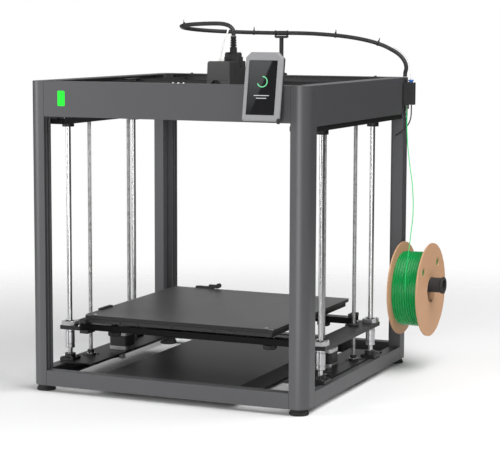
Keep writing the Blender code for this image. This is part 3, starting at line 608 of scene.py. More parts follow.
class Form:
    """A mesh under construction, in metres from the middle of the footprint."""

    def __init__(self, *nodes):
        """Starts empty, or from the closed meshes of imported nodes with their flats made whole."""
        self.mesh = bmesh.new()
        for node in nodes:
            self.mesh.from_mesh(frame["nodes"][node].data)
        if nodes:
            bmesh.ops.translate(self.mesh, vec=-MIDDLE, verts=self.mesh.verts)
            bmesh.ops.remove_doubles(self.mesh, verts=self.mesh.verts, dist=0.00001)
            bmesh.ops.dissolve_limit(
                self.mesh, angle_limit=math.radians(1), verts=self.mesh.verts, edges=self.mesh.edges
            )

    def box(self, low, high):
        made = bmesh.ops.create_cube(self.mesh, size=1)["verts"]
        size = [h - l for l, h in zip(low, high)]
        middle = [(h + l) / 2 for l, h in zip(low, high)]
        move = Matrix.Translation(middle) @ Matrix.Diagonal((*size, 1))
        bmesh.ops.transform(self.mesh, matrix=move, verts=made)
        return self

    def bar(self, radius, start, end, sides=32, tip=None):
        """A round bar between two points, or a cone if its tip has another radius."""
        start, end = Vector(start), Vector(end)
        run = end - start
        made = bmesh.ops.create_cone(
            self.mesh, cap_ends=True, segments=sides, radius1=radius,
            radius2=radius if tip is None else tip, depth=run.length,
        )["verts"]
        turn = run.to_track_quat("Z", "Y").to_matrix().to_4x4()
        bmesh.ops.transform(self.mesh, matrix=Matrix.Translation((start + end) / 2) @ turn, verts=made)
        return self

    def rings(self, loops, closed=False):
        """Skins a row of loops of points; a loop of one point closes to a tip."""
        rows = [[self.mesh.verts.new(p) for p in loop] for loop in loops]
        pairs = list(zip(rows, rows[1:])) + ([(rows[-1], rows[0])] if closed else [])
        for one, two in pairs:
            for i in range(max(len(one), len(two))):
                face = []
                for vert in (one[i % len(one)], one[(i + 1) % len(one)],
                             two[(i + 1) % len(two)], two[i % len(two)]):
                    if vert not in face:
                        face.append(vert)
                self.mesh.faces.new(face)
        if not closed:
            for row in (rows[0], rows[-1]):
                if len(row) > 2:
                    self.mesh.faces.new(row)
        return self

    def turned(self, profile, middle=(0, 0, 0), axis="Z", steps=48, closed=False, ridge=None):
        """Turns (radius, height) points about an axis; ridge(angle, height) adds to the radius."""
        order = {"X": (2, 0, 1), "Y": (0, 2, 1), "Z": (0, 1, 2)}[axis]
        loops = []
        for radius, height in profile:
            loop = []
            for i in range(steps if radius else 1):
                angle = math.tau * i / steps
                r = radius + (ridge(angle, height) if ridge and radius else 0)
                point = (r * math.cos(angle), r * math.sin(angle), height)
                loop.append(Vector([point[k] for k in order]) + Vector(middle))
            loops.append(loop)
        return self.rings(loops, closed)

    def prism(self, outline, start, end, axis="Z"):
        """Draws an outline out along an axis: (y, z) along X, (x, z) along Y, (x, y) along Z."""
        put = {"X": lambda u, v, w: (w, u, v), "Y": lambda u, v, w: (u, w, v),
               "Z": lambda u, v, w: (u, v, w)}[axis]
        return self.rings([[put(u, v, w) for u, v in outline] for w in (start, end)])

    def plate(self, outline, holes, start, end, axis="Z"):
        """A flat outline with holes, drawn out along an axis as prism does."""
        curve = bpy.data.curves.new("plate", "CURVE")
        curve.dimensions = "2D"
        curve.fill_mode = "BOTH"
        curve.extrude = (end - start) / 2
        for points in (outline, *holes):
            spline = curve.splines.new("POLY")
            spline.points.add(len(points) - 1)
            spline.use_cyclic_u = True
            for point, (u, v) in zip(spline.points, points):
                point.co = (u, v, 0, 1)
        obj = bpy.data.objects.new("plate", curve)
        data = bpy.data.meshes.new_from_object(obj)
        order = {"X": ((0, 0, 1), (1, 0, 0), (0, 1, 0)), "Y": ((1, 0, 0), (0, 0, 1), (0, 1, 0)),
                 "Z": ((1, 0, 0), (0, 1, 0), (0, 0, 1))}[axis]
        middle = Vector([(start + end) / 2 if name == axis else 0 for name in "XYZ"])
        data.transform(Matrix.Translation(middle) @ Matrix(order).to_4x4())
        self.mesh.from_mesh(data)
        bpy.data.objects.remove(obj)
        bmesh.ops.remove_doubles(self.mesh, verts=self.mesh.verts, dist=0.000005)
        bmesh.ops.dissolve_limit(
            self.mesh, angle_limit=math.radians(1), verts=self.mesh.verts, edges=self.mesh.edges
        )
        return self

    def tube(self, path, radius, sides=16):
        """A round tube along points, with its length and its turn kept as texture coordinates."""
        path = [Vector(p) for p in path]
        ahead = [(path[min(i + 1, len(path) - 1)] - path[max(i - 1, 0)]).normalized()
                 for i in range(len(path))]
        side = ahead[0].orthogonal().normalized()
        loops, runs, run = [], [], 0.0
        for i, (point, way) in enumerate(zip(path, ahead)):
            run += (point - path[i - 1]).length if i else 0.0
            side = (side - way * side.dot(way)).normalized()
            other = way.cross(side)
            loops.append([
                point + radius * (math.cos(a) * side + math.sin(a) * other)
                for a in (math.tau * k / sides for k in range(sides))
            ])
            runs.append(run)
        first = len(self.mesh.faces)
        self.rings(loops)
        self.mesh.faces.ensure_lookup_table()
        layer = self.mesh.loops.layers.uv.verify()
        for number, face in enumerate(self.mesh.faces[first:first + (len(path) - 1) * sides]):
            row, k = divmod(number, sides)
            spots = ((k, row), (k + 1, row), (k + 1, row + 1), (k, row + 1))
            for loop, (around, step) in zip(face.loops, spots):
                loop[layer].uv = (around / sides, runs[step])
        return self

    def bolt(self, spot, way=(0, 0, 1), radius=0.0028, height=0.0020):
        """A button-head screw with a hex socket, standing on a spot."""
        way = Vector(way)
        turn = Matrix.Translation(Vector(spot)) @ way.to_track_quat("Z", "Y").to_matrix().to_4x4()
        socket = radius * 0.5
        loops = []
        for r, h, sides in (
            (0, height * 0.35, 1), (socket, height * 0.35, 6), (socket, height, 6),
            (radius * 0.72, height, 24), (radius * 0.93, height * 0.72, 24), (radius, height * 0.3, 24),
            (radius, -0.0002, 24),
        ):
            if sides == 6:
                angles = [math.tau * round(k / 4) / 6 for k in range(24)]
            else:
                angles = [math.tau * k / 24 for k in range(24)]
            points = [(r * math.cos(a), r * math.sin(a), h) for a in angles[:1 if sides == 1 else 24]]
            loops.append([turn @ Vector(p) for p in points])
        return self.rings(loops)

    def moved(self, matrix):
        bmesh.ops.transform(self.mesh, matrix=matrix, verts=self.mesh.verts)
        return self

    def piece(self, name, body, finish, replaces=(), edge=0.0, sharp=35.0, blend=None):
        """Ends the mesh as one piece that rides on a body, or is left in place on no body when a blend is
        given.
        """
        bmesh.ops.remove_doubles(self.mesh, verts=self.mesh.verts, dist=0.000001)
        bmesh.ops.recalc_face_normals(self.mesh, faces=self.mesh.faces)
        bmesh.ops.translate(self.mesh, vec=MIDDLE, verts=self.mesh.verts)
        data = bpy.data.meshes.new(name)
        self.mesh.to_mesh(data)
        self.mesh.free()
        data.materials.append(material(finish))
        data.shade_smooth()
        data.set_sharp_from_angle(angle=math.radians(sharp))
        obj = bpy.data.objects.new(name, data)
        bpy.context.scene.collection.objects.link(obj)
        if edge:
            soften = obj.modifiers.new("soft_edges", "BEVEL")
            soften.width = edge
            soften.segments = 2
            soften.limit_method = "ANGLE"
            soften.angle_limit = math.radians(40)
            soften.harden_normals = True
            soften.use_clamp_overlap = True
        if replaces:
            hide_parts(*replaces)
        if blend:
            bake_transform(obj)
        else:
            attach(obj, body)
        return obj


def route_length(path):
    return sum((b - a).length for a, b in zip(path, path[1:]))


def cord(name, route, radius, finish, body, replaces=(), blend=None, spacing=0.004, sides=16, **facts):
    """A round cord along a route."""
    path = smooth_route(route, spacing)
    obj = Form().tube(path, radius, sides).piece(name, body, finish, replaces, sharp=60, blend=blend)
    route_length(path)
    [p + MIDDLE for p in path]
    return obj


def replaced(node, finish, body="frame", edge=None, name=None):
    """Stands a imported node's own shape in its place, with soft edges and a finish."""
    edge = sizes().edge if edge is None else edge
    return Form(node).piece(name or f"{node}_finished", body, finish, [node], edge=edge)


class Step:
    """What every building step shares."""

    bl_options = {"REGISTER", "UNDO"}


# ---- studio -------------------------------------------------------------------------------
def softbox(name, spot, target, size, power):
    lamp = bpy.data.lights.new(name, "AREA")
    lamp.shape = "RECTANGLE"
    lamp.size, lamp.size_y = size
    lamp.energy = power
    obj = bpy.data.objects.new(name, lamp)
    obj.location = Vector(spot) + MIDDLE
    aim = Vector(target) - Vector(spot)
    obj.rotation_euler = aim.to_track_quat("-Z", "Y").to_euler()
    bpy.context.scene.collection.objects.link(obj)
    return obj


def surroundings(sky):
    """Grey studio with a white wall behind the printer and a black one behind it to the right."""
    world = bpy.data.worlds.new("surroundings")
    world.use_nodes = True
    tree = world.node_tree
    direction = tree.nodes.new("ShaderNodeTexCoord").outputs["Generated"]

    def toward(way, edge, width):
        dot = tree.nodes.new("ShaderNodeVectorMath")
        dot.operation = "DOT_PRODUCT"
        tree.links.new(direction, dot.inputs[0])
        dot.inputs[1].default_value = way
        step = tree.nodes.new("ShaderNodeMapRange")
        step.interpolation_type = "SMOOTHSTEP"
        tree.links.new(dot.outputs["Value"], step.inputs["Value"])
        step.inputs["From Min"].default_value = edge - width
        step.inputs["From Max"].default_value = edge + width
        return step.outputs[0]

    def mixed(factor, first, shade):
        mix = tree.nodes.new("ShaderNodeMix")
        mix.data_type = "RGBA"
        tree.links.new(factor, mix.inputs[0])
        if isinstance(first, float):
            mix.inputs[6].default_value = (first, first, first, 1)
        else:
            tree.links.new(first, mix.inputs[6])
        mix.inputs[7].default_value = (shade, shade, shade, 1)
        return mix.outputs[2]

    shade = mixed(toward((0.593, 0.804, 0), 0.64, 0.05), sky, 0.02)
    shade = mixed(toward((-0.400, 0.908, -0.123), 0.93, 0.03), shade, 1.0)
    tree.links.new(shade, tree.nodes["Background"].inputs["Color"])
    return world


def studio_floor():
    """Pale floor that fades into the white wall well away from the printer."""
    net = Net("studio_floor")
    drift = net.noise(1.5, 2.0)
    reach = net.node("ShaderNodeVectorMath", {"operation": "LENGTH"}, {0: net.place}, output=1)
    tone = net.shade((0.90, 0.90, 0.90), 0.99, 1.0, drift)
    return net.surface(tone, 0.75, alpha=1 - reach.above(1.25, 1.1))


class PRINTER_OT_studio(Step, bpy.types.Operator):
    """Set up the camera, the lights and the floor"""

    bl_idname = "printer.studio"
    bl_label = "Studio"

    def execute(self, context):
        studio = context.scene.printer_studio
        self.camera(context)
        target = (0, 0, 0.3)
        softbox("front_softbox", (0.85, -2.95, 0.35), target, (1.1, 1.5), studio.front)
        softbox("side_softbox", (-2.60, -2.00, 0.90), target, (1.2, 1.8), studio.side)
        softbox("top_softbox", (1.50, -0.20, 2.50), target, (2.4, 2.4), studio.top)
        self.floor()
        context.scene.world = surroundings(studio.sky)
        context.scene.view_settings.view_transform = "Standard"
        return {"FINISHED"}

    def camera(self, context):
        yaw, pitch, roll = (math.radians(a) for a in (23.619, 7.06, 0.198))
        view = Vector((-math.sin(yaw) * math.cos(pitch), math.cos(yaw) * math.cos(pitch), -math.sin(pitch)))
        lens = bpy.data.cameras.new("camera")
        lens.lens = 124.757
        lens.sensor_width = 36
        lens.clip_end = 100
        obj = bpy.data.objects.new("camera", lens)
        turn = view.to_track_quat("-Z", "Y").to_matrix().to_4x4()
        spot = Vector((1.4597, -3.2225, 0.7316)) + MIDDLE
        obj.matrix_world = Matrix.Translation(spot) @ turn @ Matrix.Rotation(roll, 4, "Z")
        context.scene.collection.objects.link(obj)
        context.scene.camera = obj

    def floor(self):
        form = bmesh.new()
        bmesh.ops.create_circle(form, cap_ends=True, segments=96, radius=3)
        data = bpy.data.meshes.new("floor")
        form.to_mesh(data)
        form.free()
        data.materials.append(studio_floor())
        obj = bpy.data.objects.new("floor", data)
        bpy.context.scene.collection.objects.link(obj)


# ---- cords --------------------------------------------------------------------------------
def tie(name, route, share, radius, body, blend=None, reach=0.0):
    """A cable tie with its head and a cropped tail, at a share of a route's length."""
    path = smooth_route(route, 0.004)
    index = round(share * (len(path) - 1))
    spot = path[index]
    way = (path[min(index + 1, len(path) - 1)] - path[max(index - 1, 0)]).normalized()
    half = sizes().tie_width / 2
    thick = 0.0009
    up = (Vector((0, 0, 1)) - way * way.z).normalized()
    turn = Matrix((way.cross(up), up, way)).transposed().to_4x4()
    form = Form()
    form.turned(
        [(radius, -half), (radius + thick, -half), (radius + thick, half), (radius, half)],
        steps=24, closed=True,
    )
    form.box((-0.0020, radius, -half), (0.0020, radius + 0.0026, half))
    form.box((0.0004, radius + 0.0020, -half * 0.7), (0.0013, radius + 0.0026 + reach, half * 0.7))
    form.moved(Matrix.Translation(spot) @ turn)
    return form.piece(name, body, black_plastic, blend=blend)


class PRINTER_OT_cords(Step, bpy.types.Operator):
    """Lay the cable sleeve, the feed tubes, the sensor lead and the filament strand"""

    bl_idname = "printer.cords"
    bl_label = "Cords"

    def execute(self, context):
        first, second = SLEEVE_ROUTE[:SLEEVE_SPLIT + 1], SLEEVE_ROUTE[SLEEVE_SPLIT:]
        join = Vector(SLEEVE_ROUTE[SLEEVE_SPLIT])
        radius = 0.0043
        over_frame = ((0, 0.2830, 0.7), (0, join.y, 0.7))
        over_beam = ((join.x, 0, 0.7), (-0.0300, 0, 0.7))
        cord("cable_sleeve_rear", first, radius, braided_sleeve, ("frame", "gantry"),
             ["cable_sleeve"], over_frame, sides=24, stiffness="stiff", lay="hanging")
        cord("cable_sleeve_head", second, radius, braided_sleeve, ("gantry", "head"),
             ["cable_sleeve"], over_beam, sides=24, stiffness="stiff", lay="hanging")
        for name, share in (("right_outer", 0.168), ("right_inner", 0.325), ("left", 0.630)):
            tie(f"sleeve_tie_{name}", first, share, radius, ("frame", "gantry"), over_frame, 0.0050)
        tie("sleeve_tie_loop", second, 0.10, radius, ("gantry", "head"), over_beam, 0.0050)
        cord("feed_tube_rear_run", REAR_TUBE_ROUTE, 0.0020, white_tube, "frame", ["feed_tube_rear"],
             stiffness="medium", lay="hanging")
        cord("feed_tube_head_run", HEAD_TUBE_ROUTE, 0.0015, white_tube, "head", ["feed_tube_head"],
             stiffness="medium", lay="hanging")
        cord("sensor_lead_run", SENSOR_LEAD_ROUTE, 0.0013, cable_black, "frame", ["sensor_lead"],
             spacing=0.003, stiffness="limp", lay="hanging")
        cord("filament_strand_run", STRAND_ROUTE, 0.0009, painted_backlit_filament, "frame", ["filament_strand"],
             spacing=0.006, sides=12, stiffness="medium", lay="hanging")
        return {"FINISHED"}


# ---- frame --------------------------------------------------------------------------------
def column_outline(side_x, side_y):
    """L section with a rounded outer corner and two cable slots in its web's end."""
    radius, width, web, flange, depth, notch = 0.0235, 0.0340, 0.0250, 0.0225, 0.0476, 0.0040
    slot_depth = 0.0050
    points = arc((-radius, -radius), radius, 0, 90, 20)
    points.append((-width, 0))
    for top, bottom in ((-0.0035, -0.0105), (-0.0140, -0.0215)):
        points += [(-width, top), (-width + slot_depth, top),
                   (-width + slot_depth, bottom), (-width, bottom)]
    points += [(-width, -web), (-flange + notch, -web), (-flange + notch, -web - notch),
               (-flange, -web - notch), (-flange, -depth), (0, -depth)]
    return [(side_x * (HALF_WIDTH + u), side_y * (HALF_DEPTH + v)) for u, v in points]


class PRINTER_OT_frame(Step, bpy.types.Operator):
    """Build the columns, beams, feet and status light"""

    bl_idname = "printer.frame"
    bl_label = "Frame"

    def execute(self, context):
        for side, x in SIDES:
            for end, y in ENDS:
                column = f"column_{end}_{side}"
                Form().prism(column_outline(x, y), FRAME_BOTTOM, FRAME_TOP).piece(
                    f"{column}_extrusion", "frame", frame_paint, [column], edge=0.0004)
                self.foot(f"foot_{end}_{side}")
            for name in (f"side_panel_{side}", f"base_beam_{side}"):
                replaced(name, frame_paint)
        for name in ("front_fascia", "rear_beam", "base_beam_front", "base_beam_rear"):
            replaced(name, frame_paint)
        self.fasteners()
        self.status_light()
        return {"FINISHED"}

    def foot(self, name):
        low, high = corners(name)
        middle = (low + high) / 2
        radius = (high.x - low.x) / 2
        top = high.z
        profile = [(0, top), (radius * 0.86, top), (radius * 0.86, top * 0.62), (radius * 0.93, top * 0.50),
                   (radius * 0.93, top * 0.40), (radius, top * 0.26), (radius, top * 0.08),
                   (radius * 0.96, 0), (radius * 0.55, 0), (radius * 0.50, 0.0008), (0, 0.0008)]
        form = Form().turned(profile, (middle.x, middle.y, 0), steps=64)
        form.piece(f"{name}_pad", "frame", rubber, [name], edge=0.0004)

    def fasteners(self):
        """Screws that hold the beams to the columns, on faces that are seen from behind or above."""
        form = Form()
        top = corners("rear_beam")[1].z
        for x in (-0.2170, 0.2170):
            form.bolt((x, HALF_DEPTH - 0.0110, top), radius=0.0030)
        for x in (-0.2480, 0.2480):
            for z in (0.5600, 0.5990, 0.0280):
                form.bolt((x, HALF_DEPTH, z), (0, 1, 0), radius=0.0030, height=0.0016)
        form.piece("frame_screws", "frame", fastener)
        dots = Form()
        for x in (0.0150, 0.0265, 0.0369):
            dots.bolt((x, -HALF_DEPTH + 0.0125, top), radius=0.0020, height=0.0020)
        dots.piece("fascia_screws", "frame", bright_fastener)

    def status_light(self):
        outline = rounded((-0.2272, 0.5662), (-0.2120, 0.5952), 0.0018)
        Form().prism(outline, -HALF_DEPTH - 0.0004, -HALF_DEPTH + 0.0010, "Y").piece(
            "status_light", "frame", status_lens, edge=0.0003)


# ---- drive of the bed ---------------------------------------------------------------------
def motor(name, axis, low, high, node):
    """A square stepper motor: machined end caps, a stack of sheets between, and four screws."""
    half, cut = 0.0210, 0.0040
    x, y = axis
    cap = 0.0085
    square = [
        (x + half, y - half + cut), (x + half, y + half - cut), (x + half - cut, y + half),
        (x - half + cut, y + half), (x - half, y + half - cut), (x - half, y - half + cut),
        (x - half + cut, y - half), (x + half - cut, y - half),
    ]
    core = [(x + (u - x) * 0.985, y + (v - y) * 0.985) for u, v in square]
    Form().prism(core, low + cap - 0.0005, high - cap + 0.0005).piece(
        f"{name}_stack", "frame", motor_steel, [node], edge=0.0006)
    ends = Form()
    ends.prism(square, low, low + cap).prism(square, high - cap, high)
    ends.piece(f"{name}_end_caps", "frame", aluminium, edge=0.0007)
    screws = Form()
    for u in (-0.0155, 0.0155):
        for v in (-0.0155, 0.0155):
            screws.bolt((x + u, y + v, high), radius=0.0024, height=0.0012)
    screws.piece(f"{name}_screws", "frame", fastener)


def pulley(name, middle, radius, low, high, body, shaft=None):
    """A toothed belt pulley with two flanges, and its shaft if one is given."""
    x, y = middle
    teeth = 20

    def tooth(angle, height):
        return -0.0006 if low + 0.0013 < height < high - 0.0013 and math.sin(teeth * angle) > 0.2 else 0

    flange = radius + 0.0013
    profile = [
        (0, high), (flange, high), (flange, high - 0.0010), (radius, high - 0.0014),
        (radius, low + 0.0014), (flange, low + 0.0010), (flange, low), (0, low),
    ]
    form = Form().turned(profile, (x, y, 0), steps=teeth * 6, ridge=tooth)
    if shaft:
        form.bar(0.0025, (x, y, shaft[0]), (x, y, shaft[1]), 24)
    return form.piece(name, body, aluminium)


def belt_loop(wheels, radius, low, high, name):
    """A belt round wheels of one size, given anticlockwise."""
    thick = sizes().belt_thickness
    loops = []
    for reach in (radius, radius + thick):
        points = []
        for i, wheel in enumerate(wheels):
            here = Vector(wheel)
            before = here - Vector(wheels[i - 1])
            after = Vector(wheels[(i + 1) % len(wheels)]) - here
            start = math.degrees(math.atan2(-before.x, before.y)) + 180
            sweep = math.degrees(before.angle_signed(after)) * -1
            points += arc(here, reach, start, start + sweep, 10)
        loops.append(points)
    inner, outer = loops
    rings = [[(u, v, z) for u, v in points] for points, z in
             ((inner, low), (outer, low), (outer, high), (inner, high))]
    Form().rings(rings, closed=True).piece(name, "frame", belt_rubber, edge=0.0002)


class PRINTER_OT_drive(Step, bpy.types.Operator):
    """Build the bed's plates, motors, belts, rods and lead screws"""

    bl_idname = "printer.drive"
    bl_label = "Bed Drive"

    def execute(self, context):
        for side, x in SIDES:
            self.plate(side, x)
            self.motor_and_belt(side, x)
            for end, _ in ENDS:
                self.rod(side, end)
                self.screw(side, end)
        return {"FINISHED"}

    def plate(self, side, x):
        node = f"base_plate_{side}"
        replaced(node, black_steel, edge=0.0005)
        form = Form()
        for end, _ in ENDS:
            rod, screw = ROD[side, end], SCREW[side, end]
            for u, v in ((-0.0112, -0.0125), (0.0112, -0.0125), (-0.0112, 0.0125), (0.0112, 0.0125)):
                form.bolt((rod.x + u, rod.y + v, 0.0480))
            for angle in (45, 135, 225, 315):
                a = math.radians(angle)
                form.bolt((screw.x + 0.0150 * math.cos(a), screw.y + 0.0150 * math.sin(a), 0.0435),
                          radius=0.0022, height=0.0016)
        form.piece(f"{node}_screws", "frame", fastener)
        races = Form()
        for end, _ in ENDS:
            screw = SCREW[side, end]
            races.turned([(0.0052, 0.0481), (0.0088, 0.0481), (0.0088, 0.0470), (0.0052, 0.0470)],
                         (screw.x, screw.y, 0), closed=True)
        races.piece(f"screw_bearings_{side}", "frame", rod_steel)

    def motor_and_belt(self, side, x):
        node = f"z_motor_{side}"
        low, high = corners(node)
        axis = ((low.x + high.x) / 2, (low.y + high.y) / 2)
        motor(node, axis, high.z - 0.0390, high.z, node)
        hub = Form().turned([(0, 0.0402), (0.0060, 0.0402), (0.0060, 0.0340), (0, 0.0340)], (*axis, 0))
        hub.piece(f"{node}_boss", "frame", black_steel, edge=0.0004)
        pulley(f"{node}_pulley", axis, 0.0062, 0.0235, 0.0345, "frame", (0.0215, 0.0438))
        wheels = [axis, *((SCREW[side, end].x, SCREW[side, end].y) for end, _ in ENDS)]
        if x < 0:
            wheels = [wheels[0], wheels[2], wheels[1]]
        belt_loop(wheels, 0.0072, 0.0240, 0.0300, f"bed_belt_{side}")

    def rod(self, side, end):
        node = f"rod_{end}_{side}"
        low, high = corners(node)
        middle = ROD[side, end]
        radius = (high.x - low.x) / 2
        tip = 0.0008
        profile = [(0, high.z), (radius - tip, high.z), (radius, high.z - tip),
                   (radius, low.z + tip), (radius - tip, low.z), (0, low.z)]
        Form().turned(profile, (middle.x, middle.y, 0), steps=64).piece(
            f"{node}_bar", "frame", rod_steel, [node])

    def screw(self, side, end):
        """A lead screw with a four-start thread, cut in steps of a quarter of its pitch."""
        node = f"lead_screw_{end}_{side}"
        high = corners(node)[1]
        middle = SCREW[side, end]
        pitch, depth, starts = sizes().thread_pitch, sizes().thread_depth, 4
        radius, top, foot = 0.0040, high.z, 0.0520

        def thread(angle, height):
            if not foot < height < top - 0.001:
                return 0
            phase = (height - pitch * starts * angle / math.tau) / pitch % 1.0
            return -depth * min(1.0, max(0.0, 2.2 * abs(2 * phase - 1) - 0.5))

        step = pitch / 4
        count = int((top - foot) / step)
        profile = [(0, top), (radius - 0.0006, top)]
        profile += [(radius, top - step * (i + 0.5)) for i in range(count)]
        profile += [(radius - 0.0002, foot - 0.001), (radius - 0.0002, 0.0320), (0, 0.0320)]
        Form().turned(profile, (middle.x, middle.y, 0), steps=20, ridge=thread).piece(
            f"{node}_thread", f"screw_{end}_{side}", screw_steel, [node], sharp=50)
        pulley(f"screw_pulley_{end}_{side}", (middle.x, middle.y), 0.0072, 0.0222, 0.0320,
               f"screw_{end}_{side}")
        collar = Form().turned([(0.0041, 0.0545), (0.0070, 0.0545), (0.0070, 0.0485), (0.0041, 0.0485)],
                               (middle.x, middle.y, 0), closed=True)
        collar.piece(f"screw_collar_{end}_{side}", f"screw_{end}_{side}", black_steel, edge=0.0004)


# ---- bed ----------------------------------------------------------------------------------
class PRINTER_OT_bed(Step, bpy.types.Operator):
    """Build the arms, bearings, cross beams, heated bed and print sheet"""

    bl_idname = "printer.bed"
    bl_label = "Bed"

    def execute(self, context):
        for side, x in SIDES:
            replaced(f"bed_arm_{side}", black_steel, "bed", edge=0.0005)
            self.arm_screws(side, x)
            for end, _ in ENDS:
                self.bearing(side, end)
                self.nut(side, end)
        for end, _ in ENDS:
            replaced(f"cross_beam_{end}", black_aluminium, "bed", edge=0.0008)
        self.layers()
        self.springs()
        self.trim()
        return {"FINISHED"}

    def arm_screws(self, side, x):
        form = Form()
        top = corners(f"bed_arm_{side}")[1].z
        for end, _ in ENDS:
            rod = ROD[side, end]
            beam = centre(f"cross_beam_{end}")
            for v in (-0.0070, 0.0070):
                form.bolt((x * 0.2475, beam.y + v, top), radius=0.0026)
            for u, v in ((-0.0110, -0.0110), (0.0110, -0.0110), (-0.0110, 0.0110), (0.0110, 0.0110)):
                form.bolt((rod.x + u, rod.y + v, 0.1220), radius=0.0024, height=0.0018)
        form.piece(f"bed_arm_{side}_screws", "bed", bright_fastener)
        brackets = Form()
        for end, _ in ENDS:
            beam = centre(f"cross_beam_{end}")
            brackets.box((min(x * 0.2230, x * 0.2425), beam.y - 0.0155, 0.1010),
                         (max(x * 0.2230, x * 0.2425), beam.y + 0.0155, 0.1080))
            brackets.box((min(x * 0.2290, x * 0.2425), beam.y - 0.0150, 0.1215),
                         (max(x * 0.2290, x * 0.2425), beam.y + 0.0150, 0.1300))
        brackets.piece(f"bed_brackets_{side}", "bed", black_plastic, edge=0.0010)

    def bearing(self, side, end):
        """A long flanged bearing: square flange with cut corners, grooved body, dark seals."""
        node = f"bearing_{end}_{side}"
        low, high = corners(node)
        x, y = ROD[side, end].x, ROD[side, end].y
        half, cut = (high.x - low.x) / 2, 0.0062
        flange = [
            (x + half, y - half + cut), (x + half, y + half - cut), (x + half - cut, y + half),
            (x - half + cut, y + half), (x - half, y + half - cut), (x - half, y - half + cut),
            (x - half + cut, y - half), (x + half - cut, y - half),
        ]
        form = Form().prism(flange, 0.1143, high.z)
        body, bore = 0.0095, 0.0054
        groove = 0.0007
        profile = [(bore, high.z + 0.0002), (body * 0.8, high.z + 0.0002), (body, 0.1160)]
        for top in (0.1020, 0.0760):
            profile += [(body, top), (body - groove, top - 0.0004),
                        (body - groove, top - 0.0022), (body, top - 0.0026)]
        profile += [(body, low.z + 0.0006), (body - 0.0006, low.z), (bore, low.z)]
        form.turned(profile, (x, y, 0), steps=64, closed=True)
        form.piece(f"{node}_shell", "bed", aluminium, [node], edge=0.0005)
        seal = Form()
        for z in (low.z - 0.0002, high.z - 0.0006):
            seal.turned([(0.0051, z + 0.0010), (0.0085, z + 0.0010), (0.0085, z), (0.0051, z)],
                        (x, y, 0), closed=True)
        seal.piece(f"{node}_seals", "bed", rubber)

    def nut(self, side, end):
        x, y = SCREW[side, end].x, SCREW[side, end].y
        profile = [(0.0048, 0.1178), (0.0105, 0.1178), (0.0105, 0.1142), (0.0048, 0.1142)]
        form = Form().turned(profile, (x, y, 0), closed=True)
        form.turned([(0.0048, 0.1058), (0.0065, 0.1058), (0.0065, 0.0960), (0.0048, 0.0960)],
                    (x, y, 0), closed=True)
        form.piece(f"lead_nut_{end}_{side}", "bed", black_plastic, edge=0.0004)

    def layers(self):
        low, high = corners("print_sheet")
        top = high.z
        cut_x, cut_y, back = 0.0190, 0.0080, high.y - 0.0040
        sheet = [(low.x + cut_x, low.y), (high.x - cut_x, low.y), (high.x, low.y + cut_y)]
        sheet += arc((high.x - 0.0040, back), 0.0040, 0, 90, 6)
        sheet += arc((low.x + 0.0040, back), 0.0040, 90, 180, 6)
        sheet.append((low.x, low.y + cut_y))
        Form().prism(sheet, top - 0.0010, top).piece(
            "print_sheet_coated", "bed", print_sheet, ["print_sheet"], edge=0.0003)
        inset = rounded((low.x + 0.001, low.y + 0.001), (high.x - 0.001, high.y - 0.001), 0.0040)
        Form().prism(inset, top - 0.0024, top - 0.0011).piece(
            "magnetic_layer", "bed", rubber, edge=0.0003)
        Form().prism(inset, top - 0.0068, top - 0.0025).piece(
            "heater_plate", "bed", black_steel, ["heated_bed"], edge=0.0005)
        tray = rounded((low.x + 0.006, low.y + 0.006), (high.x - 0.006, high.y - 0.006), 0.0030)
        Form().prism(tray, 0.1335, top - 0.0078).piece("bed_insulation", "bed", insulation, edge=0.0006)
        rim = Form()
        for x in (-0.1350, 0.1120):
            rim.box((x - 0.0085, low.y + 0.0045, 0.1350), (x + 0.0085, low.y + 0.0065, 0.1390))
        for x in (-0.0900, -0.0150, 0.0760):
            rim.box((x - 0.0020, low.y + 0.0045, 0.1352), (x + 0.0020, low.y + 0.0062, 0.1385))
        rim.piece("bed_edge_clips", "bed", black_plastic, edge=0.0004)
        tabs = Form()
        for x, side in ((low.x, 1), (high.x, -1)):
            corner = [(x + side * u, low.y + v) for u, v in
                      ((0.0020, 0.0070), (0.0020, 0.0020), (0.0150, 0.0020))]
            tabs.prism(corner, top - 0.0011, top - 0.0006)
            tabs.turned([(0, top + 0.0006), (0.0030, top + 0.0006), (0.0036, top), (0, top)],
                        (x + side * 0.0200, low.y + 0.0110, 0), steps=32)
        tabs.piece("sheet_locators", "bed", bright_fastener)

    def springs(self):
        """Levelling springs and knobs between the cross beams and the heated bed."""
        coils, knobs = Form(), Form()
        turns, wire = 5, 0.0008
        for end, _ in ENDS:
            beam = centre(f"cross_beam_{end}")
            for x in (-0.170, 0.170):
                path = []
                for i in range(turns * 16 + 1):
                    angle = math.tau * i / 16
                    height = 0.1222 + (0.1330 - 0.1222) * i / (turns * 16)
                    path.append((x + 0.0078 * math.cos(angle), beam.y + 0.0078 * math.sin(angle), height))
                coils.tube(path, wire, 8)
                profile = [(0, 0.1075), (0.0120, 0.1075), (0.0130, 0.1060), (0.0130, 0.1010),
                           (0.0115, 0.0990), (0, 0.0990)]
                knobs.turned(profile, (x, beam.y, 0), steps=72,
                             ridge=lambda a, h: 0.0007 * math.cos(18 * a) if h > 0.0995 else 0)
        coils.piece("levelling_springs", "bed", bright_fastener, sharp=80)
        knobs.piece("levelling_knobs", "bed", black_plastic, edge=0.0003)

